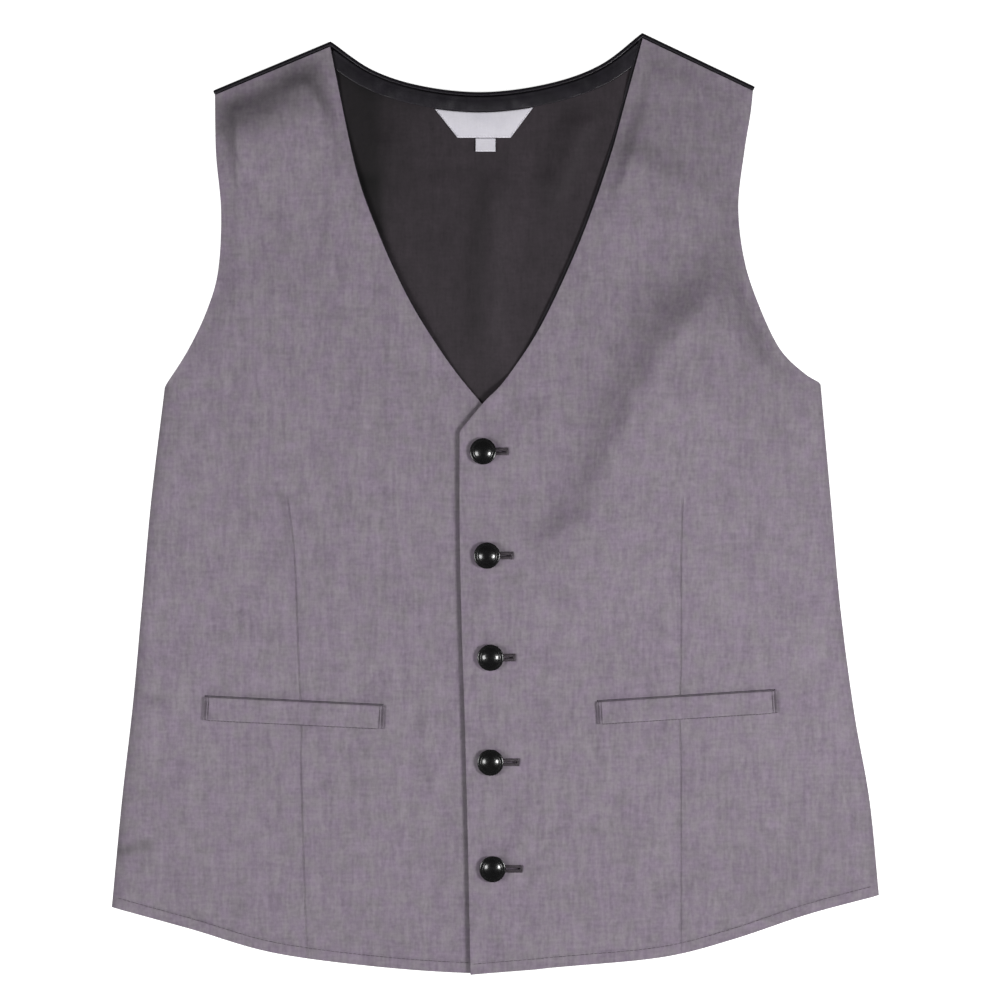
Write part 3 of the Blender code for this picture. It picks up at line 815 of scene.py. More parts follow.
@cache
def weave_group(weave: Weave) -> bpy.types.NodeTree:
    """Makes the group of a weave's fine relief.

    Args:
        weave: Which weave it shows.

    Returns:
        A group that takes coordinates and the threads' pitch, and gives a height from 0 to 1.
    """
    graph, given, result = new_group(weave.value + "_weave", ("Vector", "Pitch"), ("Height",))
    scaled = graph.scale(given["Vector"], graph.sum("DIVIDE", math.tau, given["Pitch"]))
    across, along = graph.node("SeparateXYZ", {0: scaled}).outputs[:2]
    if weave is Weave.PLAIN:
        yarns = [graph.sum("SINE", graph.sum("MULTIPLY", axis, 0.5)) for axis in (across, along)]
        relief = graph.sum("MULTIPLY", *yarns)
    elif weave is Weave.TWILL:
        relief = graph.sum("SINE", graph.sum("ADD", graph.sum("MULTIPLY", along, TWILL_SLOPE), across))
    else:
        relief = graph.sum("SINE", along)
    graph.feed(result, {"Height": graph.sum("MULTIPLY_ADD", relief, 0.5, 0.5)})
    return graph.tree


def opaque(colour: Colour, by: float = 1.0) -> tuple[float, float, float, float]:
    """Returns a colour with its brightness scaled, and no transparency."""
    return (colour[0] * by, colour[1] * by, colour[2] * by, 1.0)


def start_material(name: str, colour: Colour) -> tuple[Material, Graph, bpy.types.Node]:
    """Starts a Principled material.

    Args:
        name: Its name.
        colour: Its plain colour.

    Returns:
        The material, its graph and its shader node.
    """
    made = bpy.data.materials.new(name)
    made.use_nodes = True
    made.diffuse_color = opaque(colour)
    return made, Graph(made.node_tree), made.node_tree.nodes["Principled BSDF"]


@dataclass(frozen=True)
class Cloth:
    """A woven finish: two yarn colours, its weave, and how uneven the yarn is."""

    name: str
    warp: Colour
    weft: Colour
    weave: Weave = Weave.PLAIN
    roughness: float = 0.86
    uneven_roughness: float = 0.2
    yarn: float = 1.1 * MM
    patch: float = 9 * MM
    pitch: float = 0.62 * MM
    relief: float = 0.06 * MM
    slub_relief: float = 0.16 * MM
    contrast: float = 1.0
    tint: float = 3.0
    painted_shade_tint: float = 1.5
    specular: float = 0.3
    anisotropy: float = 0.0

    def material(self) -> Material:
        """Makes the material.

        Returns:
            A material whose colour, roughness and bump follow the yarns on Object coordinates.
        """
        made, graph, shader = start_material(self.name, self.warp)
        place = graph.node("TexCoord", {}).outputs["Object"]
        slubs = {"Vector": place, "Yarn": self.yarn, "Patch": self.patch}
        yarns = graph.node("Group", slubs, node_tree=slub_group())
        woven = graph.node("Group", {"Vector": place, "Pitch": self.pitch}, node_tree=weave_group(self.weave))
        uneven = yarns.outputs["Tone"]
        # painted shade: the attribute darkens the colour and turns its tint towards the greyer weft
        fall = graph.node("Attribute", {}, attribute_name=PAINTED_SHADE).outputs["Fac"]
        tone = graph.sum("MULTIPLY_ADD", uneven, self.contrast, 1.0)
        tone = graph.sum("MULTIPLY", tone, graph.sum("SUBTRACT", 1.0, fall))
        tint = graph.sum("MULTIPLY_ADD", yarns.outputs["Tint"], self.tint, 0.5)
        tint = graph.sum("MULTIPLY_ADD", fall, self.painted_shade_tint, tint)
        share = graph.node("Clamp", {0: tint}).outputs[0]
        weave_height = graph.sum("MULTIPLY", woven.outputs["Height"], self.relief)
        height = graph.sum("ADD", weave_height, graph.sum("MULTIPLY", uneven, self.slub_relief))
        bump = graph.node("Bump", {"Height": height, "Strength": 1.0, "Distance": 1.0}).outputs[0]
        graph.feed(
            shader,
            {
                "Base Color": graph.scale(graph.mix(share, opaque(self.warp), opaque(self.weft)), tone),
                "Roughness": graph.sum("MULTIPLY_ADD", uneven, self.uneven_roughness, self.roughness),
                "Specular IOR Level": self.specular,
                "Anisotropic": self.anisotropy,
                "Normal": bump,
            },
        )
        return made


@dataclass(frozen=True)
class Polish:
    """A hard polished finish with faint wear."""

    name: str
    colour: Colour
    roughness: float = 0.24
    worn_roughness: float = 0.12
    wear: Colour = (900.0, 900.0, 900.0)
    swirl: Colour = (160.0, 420.0, 160.0)
    swirl_turn: float = 0.6
    swirl_light: float = 2.2
    swirl_range: Pair = (0.45, 0.75)
    wear_range: Pair = (0.45, 0.8)
    specular: float = 0.55
    gloss: float = 0.6
    gloss_roughness: float = 0.12

    def material(self) -> Material:
        """Makes the material.

        Returns:
            A material whose roughness is uneven where the polish has worn.
        """
        made, graph, shader = start_material(self.name, self.colour)
        place = graph.node("TexCoord", {}).outputs["Object"]
        worn = graph.noise(graph.stretch(place, self.wear), detail=3.0, rough=0.6)
        swirl = graph.noise(graph.stretch(place, self.swirl, self.swirl_turn), rough=0.6)
        swirled = graph.remap(swirl, self.swirl_range)
        rough = (self.roughness, self.roughness + self.worn_roughness)
        light = opaque(self.colour, self.swirl_light)
        graph.feed(
            shader,
            {
                "Base Color": graph.mix(swirled, opaque(self.colour), light),
                "Roughness": graph.remap(worn, self.wear_range, rough),
                "Specular IOR Level": self.specular,
                "Coat Weight": self.gloss,
                "Coat Roughness": self.gloss_roughness,
            },
        )
        return made


@dataclass(frozen=True)
class Thread:
    """Sewing thread: a twisted, slightly shiny yarn."""

    name: str
    colour: Colour
    twist: float = 0.5 * MM
    waver: float = 1.5
    grain: Colour = (700.0, 700.0, 700.0)
    band_range: Pair = (0.1, 0.6)
    dark: float = 0.72
    light: float = 1.25
    roughness: float = 0.55
    specular: float = 0.4
    relief: float = 0.05 * MM
    relief_strength: float = 0.4

    def material(self) -> Material:
        """Makes the material.

        Returns:
            A material whose twist darkens and raises the thread in fine bands.
        """
        made, graph, shader = start_material(self.name, self.colour)
        place = graph.node("TexCoord", {}).outputs["Object"]
        wave = {"Vector": place, "Scale": 1 / self.twist / 3, "Distortion": self.waver}
        bands = graph.node("TexWave", wave, bands_direction="DIAGONAL").outputs["Fac"]
        uneven = graph.sum("MULTIPLY", bands, graph.noise(graph.stretch(place, self.grain)))
        share = graph.remap(uneven, self.band_range)
        dark, light = opaque(self.colour, self.dark), opaque(self.colour, self.light)
        height = {"Height": bands, "Strength": self.relief_strength, "Distance": self.relief}
        graph.feed(
            shader,
            {
                "Base Color": graph.mix(share, dark, light),
                "Roughness": self.roughness,
                "Specular IOR Level": self.specular,
                "Normal": graph.node("Bump", height).outputs[0],
            },
        )
        return made


class Wardrobe:
    """The garment's finishes, made once each."""

    def __init__(self) -> None:
        """Makes every material."""
        self.suiting = Cloth("two_tone_suiting", (0.250, 0.205, 0.264), (0.240, 0.212, 0.242)).material()
        self.satin = Cloth(
            name="black_satin",
            warp=(0.017, 0.0145, 0.020),
            weft=(0.013, 0.0115, 0.015),
            weave=Weave.SATIN,
            roughness=0.38,
            yarn=0.5 * MM,
            pitch=0.35 * MM,
            relief=0.012 * MM,
            slub_relief=0.05 * MM,
            specular=0.5,
            anisotropy=0.4,
        ).material()
        self.lining = Cloth(
            name="charcoal_lining",
            warp=(0.0370, 0.0290, 0.0352),
            weft=(0.0322, 0.0256, 0.0306),
            weave=Weave.TWILL,
            roughness=0.62,
            yarn=0.9 * MM,
            pitch=0.7 * MM,
            relief=0.02 * MM,
            slub_relief=0.06 * MM,
            contrast=1.1,
        ).material()
        self.label = Cloth(
            name="white_label_weave",
            warp=(0.76, 0.74, 0.80),
            weft=(0.72, 0.70, 0.77),
            roughness=0.6,
            yarn=0.5 * MM,
            pitch=0.45 * MM,
            relief=0.03 * MM,
            slub_relief=0.03 * MM,
            contrast=0.25,
        ).material()
        self.button = Polish("polished_black", (0.0025, 0.0025, 0.0027)).material()
        self.seam_thread = Thread("dark_mauve_thread", (0.105, 0.088, 0.108)).material()
        self.hole_thread = Thread("buttonhole_twist", (0.074, 0.060, 0.072)).material()
        self.label_thread = Thread("white_thread", (0.68, 0.66, 0.72)).material()
        self.tack_thread = Thread("mauve_tacking_thread", (0.150, 0.125, 0.155)).material()
        # painted shade: a dark mauve cloth laid where the pocket's mouth is in shade
        self.pocket_mouth_shade = Cloth("pocket_mouth_painted_shade", (0.130, 0.106, 0.137), (0.125, 0.110, 0.126)).material()


def paint_shade(piece: Piece, shade_given: Points | float = 0.0, turned: float = 0.18) -> None:
    """Notes on a cloth's mesh the painted shade that darkens its colour: the shade given, and more where it
    stands steeply.

    Args:
        piece: The cloth.
        shade_given: The painted shade at each corner, as a share of its colour; lighter where negative.
        turned: How much painted shade darkens it where it stands steeply.
    """
    mesh = piece.data
    normals = np.empty(len(mesh.vertices) * 3)
    mesh.vertex_normals.foreach_get("vector", normals)
    steep = np.minimum((1 - np.abs(normals[2::3])) / STEEP, 1.0)
    shares = 1 - (1 - shade_given) * (1 - turned * steep)
    mesh.attributes.new(PAINTED_SHADE, "FLOAT", "POINT").data.foreach_set("value", shares)


def painted_shade_shares(painted_shades: Iterable[Fold], piece: Piece) -> Points:
    """Returns how much darker painted shades make each corner of a cloth, as a share of its colour, and
    lighter for negative ones.
    """
    return fold_heights(painted_shades, corners_of(piece.data)[:, :2]) / MM / 100


def dress(piece: Piece, material: Material) -> Piece:
    """Gives a finished piece its material and its place in the part.

    Args:
        piece: The object.
        material: Its finish.

    Returns:
        The object.
    """
    piece.data.materials.clear()
    piece.data.materials.append(material)
    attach(piece, BODY)
    LOG.info("%s: %d faces", piece.name, len(piece.data.polygons))
    return piece


# ---- The garment ----


@dataclass
class Layers:
    """Heights of the layers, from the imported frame."""

    gap: float = 0.3 * MM
    slack: float = 0.2 * MM

    def __post_init__(self) -> None:
        """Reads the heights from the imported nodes."""
        lining_low, lining_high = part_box("back_lining")
        facing_low, facing_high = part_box("neck_facing")
        self.back_wall = lining_low.z - self.gap
        self.lining_under = lining_low.z
        self.lining_wall = lining_high.z - lining_low.z
        self.inner_rest = facing_low.z
        self.facing_wall = facing_high.z - facing_low.z
        self.neck_top = facing_high.z
        self.shoulder_rest = self.neck_top + self.gap


@dataclass
class TopSeam:
    """The fold at the top of the back: two shoulders, and the neck between them."""

    layers: Layers
    right_tip: Pair = (-189.4, 277.2)
    left_tip: Pair = (174.0, 279.8)
    neck_fold: tuple[Pair, ...] = (
        (-110.6, 310.2),
        (-82.0, 291.0),
        (-48.0, 280.2),
        (-7.0, 276.4),
        (36.0, 282.2),
        (70.0, 294.5),
        (98.4, 315.9),
    )
    turn: float = 3.0 * MM
    pieces: int = 18

    def __post_init__(self) -> None:
        """Draws the seam, a turn inside the fold, from shoulder tip to shoulder tip."""
        tips = in_metres((self.right_tip, self.left_tip))
        neck = smooth_line(in_metres(self.neck_fold), self.pieces)
        right = smooth_line(np.stack([tips[0], neck[0]]), self.pieces)
        left = smooth_line(np.stack([neck[-1], tips[1]]), self.pieces)
        self.line = Line(np.vstack([right, neck[1:], left[1:]])).moved(-self.turn)
        self.neck_start = self.pieces
        self.neck_end = self.pieces + len(neck) - 1
        self.neck = Line(self.line.points[self.neck_start : self.neck_end + 1])

    def shoulder(self, left: bool) -> Points:
        """Returns a front's shoulder edge from its tip to its neck end, a gap inside the seam."""
        tip = self.line.points[-1 if left else 0]
        neck = self.neck.points[-1 if left else 0]
        way = (neck - tip) / np.linalg.norm(neck - tip)
        inwards = np.array([way[1], -way[0]]) * math.copysign(self.layers.gap, way[0])
        return np.stack([tip + inwards, neck + inwards])


@dataclass
class Front:
    """One front: its outline, the form of its cloth, and the sewing on it."""

    name: str
    pattern: Pattern
    layers: Layers
    seam: TopSeam
    back_hem: Line
    under: "Front | None" = None
    wall: float = 1.8 * MM
    thinning: float = 1.0  # the cloth grows thinner towards its edges over half of this
    loft: float = 1.3 * MM
    edge_slope: float = 16 * MM
    seam_flat: float = 2 * MM
    lap_spring: float = 0.9 * MM
    lap_spring_run: float = 7 * MM
    lap_start: float = 5 * MM
    lap_run: float = 18 * MM
    lift_reach: float = 16 * MM
    lift_rise: Pair = (80 * MM, 130 * MM)
    lift_fade: Pair = (215 * MM, 262 * MM)
    side_roll: float = 6 * MM
    side_shade_run: float = 3 * MM
    hem_drop_start: float = 3 * MM
    hem_drop_run: float = 26 * MM
    facing_rise_y: float = 268 * MM
    facing_rise_run: float = 18 * MM
    dart_pull: float = 3.5 * MM
    dart_sink: float = 0.6 * MM
    dart_slit: float = 0.42 * MM
    dart_slit_depth: float = 0.72 * MM
    hem_stitch: float = 7.2 * MM
    hem_ditch: float = 0.7 * MM
    hem_ditch_depth: float = 0.3 * MM
    stitch_pitch: float = 3.0 * MM
    stitch_length: float = 2.3 * MM
    stitch_margin: float = 4.0 * MM
    stitch_radius: float = 0.17 * MM
    stitch_lie: float = 0.12 * MM
    stitch_arch: float = 0.1 * MM
    edge_bead: float = 0.45 * MM
    edge_bead_at: float = 2.2 * MM
    edge_bead_run: float = 2.6 * MM
    strip_wall: float = 0.25 * MM
    strip_lie: float = 0.03 * MM
    strip_start_y: float = 95 * MM
    strip_end: float = 0.4 * MM
    strip_taper: float = 40 * MM
    strip_narrow: float = 0.25
    strip_columns: int = 150
    strip_hidden: Pair = (-4.0 * MM, -1.5 * MM)
    strip_seen: tuple[float, ...] = (0.0, 0.35, 0.7, 0.9, 0.97, 1.0)
    cell: float = 2.1 * MM

    def __post_init__(self) -> None:
        """Draws the outline and the dart."""
        shoulder = self.seam.shoulder(self.on_left)
        side = in_metres(self.pattern.side)
        armhole = np.vstack([side[-1:], in_metres(self.pattern.armhole), shoulder.reshape(1, 4)])
        edges = []
        for ends in (slice(0, 2), slice(2, 4)):
            low, high = (smooth_line(rows[:, ends], EDGE_PIECES) for rows in (side, armhole))
            edges.append(Line(np.vstack([low, high[1:]])))
        self.outer, self.inner = edges
        self.side_line = Line(smooth_line(side[:, :2], EDGE_PIECES))
        self.hem_line = Line(smooth_line(in_metres(self.pattern.hem), EDGE_PIECES))
        self.shoulder = Line(shoulder)
        self.dart_line = Line(smooth_line(in_metres(self.pattern.dart), DART_PIECES))
        near, far = edges[::-1] if self.on_left else edges
        top = shoulder[::-1] if self.on_left else shoulder
        self.patch = Patch(self.hem_line.points, top, near.points, far.points)

    @property
    def on_left(self) -> bool:
        """Whether this is the wearer's left front."""
        outer_x, _, inner_x, _ = self.pattern.side[0]
        return outer_x > inner_x

    def lifted(self, spots: Points, from_inner: Points) -> Points:
        """Returns how far the inner edge's spring beside the neck raises each place.

        Args:
            spots: Places on the front.
            from_inner: Their distances from the inner edge.

        Returns:
            The heights.
        """
        (start, full), (fade, end) = self.lift_rise, self.lift_fade
        held = ease((spots[:, 1] - start) / (full - start)) * (1 - ease((spots[:, 1] - fade) / (end - fade)))
        return self.pattern.edge_lift * MM * held * bell(from_inner, self.lift_reach)

    def rest(self, spots: Points) -> Points:
        """Returns the height of what the front lies on at each place."""
        drop = self.back_hem.measure(spots)[1][:, 1] - self.hem_drop_start - spots[:, 1]
        rise = ease((spots[:, 1] - self.facing_rise_y) / self.facing_rise_run)
        rest = self.layers.inner_rest + (self.layers.shoulder_rest - self.layers.inner_rest) * rise
        return rest * (1 - ease(drop / self.hem_drop_run))

    def underside(self, spots: Points) -> Points:
        """Shapes the cloth's underside.

        Args:
            spots: Places on the front.

        Returns:
            The height of the underside at each place.
        """
        from_inner, from_side = self.inner.away(spots), self.side_line.away(spots)
        edge = np.minimum(nearest((self.outer, self.hem_line), spots), from_inner)
        edge = np.minimum(edge, self.shoulder.away(spots) - self.seam_flat)
        relief = self.loft + fold_heights(self.pattern.folds, spots)
        relief -= self.dart_sink * bell(self.dart_line.away(spots), self.dart_pull)
        relief = np.maximum(relief, 0.0) * ease(np.maximum(edge, 0.0) / self.edge_slope)
        relief += self.lifted(spots, from_inner)
        side_drop = self.layers.inner_rest - self.layers.back_wall - self.layers.gap
        roll = np.sin(np.minimum(from_side / self.side_roll, 1.0) * math.pi / 2)
        own = np.maximum(self.rest(spots) - side_drop * (1 - roll), 0.0) + relief
        if self.under is None:
            return own
        past = np.maximum(spots[:, 0] - self.under.inner.measure(spots)[1][:, 0], 0.0)
        covered = 1 - ease((past - self.lap_start) / self.lap_run)
        held = self.under.underside(spots) + self.wall + self.layers.gap + self.layers.slack
        held += self.lap_spring * bell(from_inner, self.lap_spring_run)
        return own + (held - own) * covered

    def face(self, spots: Points) -> Points:
        """Shapes the cloth's face, sewn lines included.

        Args:
            spots: Places on the front.

        Returns:
            The height of the face at each place.
        """
        from_hem = self.hem_line.away(spots)
        edge = np.minimum(self.inner.away(spots), from_hem)
        height = self.underside(spots) + self.wall
        height -= self.hem_ditch_depth * bell(from_hem - self.hem_stitch, self.hem_ditch)
        height -= self.dart_slit_depth * bell(self.dart_line.away(spots), self.dart_slit)
        return height + self.edge_bead * bell(edge - self.edge_bead_at, self.edge_bead_run)

    def grid(self) -> Points:
        """Spaces the grid of the cloth: close beside the edges, the hem's stitching and the dart.

        Returns:
            Rows, columns and two coordinates.
        """
        close = in_metres((0.0, 0.12, 0.35, 0.7, 1.2, 2.2, 3.6))
        beside_dart = in_metres((-2.4, -1.3, -0.8, -0.5, -0.25, 0.0, 0.25, 0.5, 0.8, 1.3, 2.4))
        ditch = self.hem_stitch + in_metres((-1.4, -0.7, -0.35, 0.0, 0.35, 0.7, 1.4))
        clear = 0.5 * MM
        levels = spaced(self.patch.levels.length, self.cell, close)
        levels = levels[(levels < ditch[0] - clear) | (levels > ditch[-1] + clear)]
        up = self.patch.rows(np.sort(np.concatenate([levels, ditch])))
        near, far = self.patch.ends(up)
        width = np.linalg.norm(far - near, axis=1)
        route = np.vstack([self.dart_line.points[::-1], in_metres([self.pattern.dart_top])])
        share = np.full(len(up), 0.5)
        for _ in range(4):
            spot = self.patch.at(share[:, None], up)[:, 0]
            share += (np.interp(spot[:, 1], route[:, 1], route[:, 0]) - spot[:, 0]) / (far - near)[:, 0]
        dart = share * width
        reach = beside_dart[-1]
        left_count = round((dart.mean() - reach - close[-1]) / self.cell)
        right_count = round((width.mean() - dart.mean() - reach - close[-1]) / self.cell)
        rows = []
        for row_width, row_dart in zip(width, dart):
            left = np.linspace(close[-1], row_dart - reach, left_count + 1)[1:-1]
            right = np.linspace(row_dart + reach, row_width - close[-1], right_count + 1)[1:-1]
            places = np.concatenate([close, left, row_dart + beside_dart, right, row_width - close[::-1]])
            rows.append(places / row_width)
        return self.patch.at(np.array(rows), up)

    def build_cloth(self, material: Material) -> Piece:
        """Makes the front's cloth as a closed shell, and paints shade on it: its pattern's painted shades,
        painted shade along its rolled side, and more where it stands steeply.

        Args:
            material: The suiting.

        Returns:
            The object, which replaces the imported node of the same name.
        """
        spots = self.grid()
        flat, shape = spots.reshape(-1, 2), spots.shape[:2]
        under, face = self.underside(flat), self.face(flat)
        edge = nearest((self.outer, self.inner, self.hem_line, self.shoulder), flat)
        half = rounded(edge, self.thinning) * (face - under)
        piece = slab(self.name + "_cloth", spots, (0.5 * (under + face)).reshape(shape), half.reshape(shape))
        # painted shade along the rolled side edge, fading over a few millimetres
        from_side = self.side_line.away(corners_of(piece.data)[:, :2])
        side = self.pattern.side_shade * np.exp(-from_side / self.side_shade_run)
        paint_shade(piece, painted_shade_shares(self.pattern.painted_shades, piece) + side)
        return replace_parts(dress(piece, material), self.name)

    def build_edge_strip(self, material: Material) -> Piece:
        """Makes the satin strip that shows past the inner edge beside the neck: the facing's edge, and in
        part a dark sheet painted as the shade in the gap under that edge.

        Args:
            material: The satin.

        Returns:
            The object.
        """
        shown = self.pattern.strip_shown * MM
        start = self.inner.steps[np.searchsorted(self.inner.points[:, 1], self.strip_start_y)]
        along = np.linspace(start, self.inner.length - self.strip_end, self.strip_columns)
        foot = self.inner.at(along)
        out = turned_left(self.inner.way(along)) * (1 if self.on_left else -1)
        offsets = np.concatenate([self.strip_hidden, shown * np.array(self.strip_seen)])
        taper = ease((along - along[0]) / self.strip_taper)[:, None]
        width = self.strip_narrow + (1 - self.strip_narrow) * taper
        reach = np.where(offsets > 0, offsets * width, offsets)
        spots = foot[:, None] + out[:, None] * reach[..., None]
        held = foot[:, None] + out[:, None] * np.minimum(reach, 0.0)[..., None]
        under = self.underside(held.reshape(-1, 2)).reshape(reach.shape)
        half = self.strip_wall / 2
        centre = under - self.strip_lie - half
        piece = slab(self.name + "_edge_strip", spots, centre, closed(reach.shape, half))
        return dress(piece, material)

    def build_hem_stitches(self, needle: Needle, material: Material) -> Piece:
        """Sews the run of stitches that holds the hem, parallel to it on the cloth's face.

        Args:
            needle: Makes the stitches.
            material: The thread.

        Returns:
            The object.
        """
        line = self.hem_line.moved(self.hem_stitch)
        along = np.arange(self.stitch_margin, line.length - self.stitch_margin, self.stitch_pitch)
        length = self.stitch_length
        spots, flat_ways = line.at(along), line.way(along)
        start, end = (self.face(spots + flat_ways * (share * length)) for share in (-0.5, 0.5))
        ways = with_height(flat_ways, (end - start) / length)
        ways /= np.linalg.norm(ways, axis=1, keepdims=True)
        centres = with_height(spots, self.face(spots) + self.stitch_lie)
        name = self.name + "_hem_stitches"
        run = needle.run(name, centres, ways, length, self.stitch_radius, self.stitch_arch)
        return dress(run, material)


@dataclass
class Label:
    """The bare label inside the neck and its size tab. Its places and sizes are in millimetres."""

    layers: Layers
    top_x: Pair = (-40.9, 25.5)
    low_x: Pair = (-25.5, 10.1)
    low_y: float = 245.6
    tab_x: float = -6.7
    tab_width: float = 13.4
    tab_length: float = 9.0
    columns: int = 60
    swell: float = 0.35
    ripple: float = 0.12
    ripple_turns: float = 17.0
    tab_curl: float = 0.4
    edge_share: float = 0.4
    filled_share: float = 0.97
    stitch_inset: float = 0.9
    stitch_margin: float = 1.5
    stitch_pitch: float = 1.9
    stitch_length: float = 1.4
    stitch_radius: float = 0.15
    stitch_arch: float = 0.1

    def distance(self, spots: Points) -> Points:
        """Returns how far places lie outside the box round the label and its tab, negative inside it."""
        x, y = spots[:, 0] / MM, spots[:, 1] / MM
        bottom = self.low_y - self.tab_length
        return np.max([self.top_x[0] - x, x - self.top_x[1], bottom - y], axis=0) * MM

    def tag(self, name: str, spots: Points, swell: Points, material: Material) -> Piece:
        """Makes a small closed shell on the lining.

        Args:
            name: The piece's name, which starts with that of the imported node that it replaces.
            spots: Rows, columns and two coordinates.
            swell: How far each place stands up.
            material: The label's weave.

        Returns:
            The object.
        """
        wall = self.layers.facing_wall
        half = closed(spots.shape[:2], wall / 2)
        half[1, 1:-1] = half[-2, 1:-1] = wall * self.edge_share
        half[1:-1, 1] = half[1:-1, -2] = wall * self.edge_share
        piece = slab(name, spots, self.layers.inner_rest + swell + wall / 2, half)
        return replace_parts(dress(piece, material), name.removesuffix("_cloth"))

    def build(self, facing_edge: Line, needle: Needle, material: Material, thread: Material) -> None:
        """Makes the label and its size tab, and their stitches.

        Args:
            facing_edge: The lower edge of the band above the label.
            needle: Makes the stitches.
            material: The label's weave.
            thread: The stitches' thread.
        """
        edge = facing_edge.points
        top_x, low_x = (np.linspace(*ends, self.columns) * MM for ends in (self.top_x, self.low_x))
        top = np.stack([top_x, np.interp(top_x, edge[:, 0], edge[:, 1]) - self.layers.gap], axis=1)
        low = np.stack([low_x, np.full(self.columns, self.low_y * MM)], axis=1)
        up = end_shares((0.0, 0.012, 0.05), 0.1, 14)
        across = np.linspace(0.0, 1.0, self.columns)
        spots = low[None] + (top - low)[None] * up[:, None, None]
        swell = self.swell * MM * np.outer(np.sin(up * math.pi), np.sin(across * math.pi) ** 0.7)
        swell += self.ripple * MM * np.outer(np.sin(up * math.pi), np.sin(across * self.ripple_turns) + 1)
        label = self.tag("label_cloth", spots, swell, material)
        width, length = self.tab_width * MM, self.tab_length * MM
        tab_x = self.tab_x * MM + (end_shares((0.0, 0.02, 0.06), 0.1, 9) - 0.5) * width
        tab_up = end_shares((0.0, 0.02, 0.06), 0.12, 8)
        tab_y = self.low_y * MM - self.layers.gap - length * (1 - tab_up)
        curl = self.tab_curl * MM * (1 - tab_up)[:, None] ** 2 * np.ones(len(tab_x))
        tab = self.tag("size_tab_cloth", np.stack(np.meshgrid(tab_x, tab_y), axis=-1), curl, material)
        inset = self.stitch_inset
        self.sew("left", spots[[1, -2], 0], (inset, 0.0), needle, thread)
        self.sew("right", spots[[1, -2], -1], (-inset, 0.0), needle, thread)
        self.sew("low", low[[0, -1]], (0.0, inset), needle, thread)

    def sew(self, edge: str, route: Points, inward: Pair, needle: Needle, thread: Material) -> None:
        """Sews one edge of the label to the lining.

        Args:
            edge: The edge's name.
            route: Its two ends.
            inward: How far inside it the stitches lie, in millimetres.
            needle: Makes the stitches.
            thread: Their thread.
        """
        line, margin = Line(route + np.array(inward) * MM), self.stitch_margin * MM
        length, radius, arch = in_metres((self.stitch_length, self.stitch_radius, self.stitch_arch))
        along = np.arange(margin, line.length - margin, self.stitch_pitch * MM)
        height = self.layers.inner_rest + self.layers.facing_wall + arch
        ways, centres = with_height(line.way(along), 0.0), with_height(line.at(along), height)
        run = needle.run(f"label_{edge}_stitches", centres, ways, length, radius, arch)
        dress(run, thread)


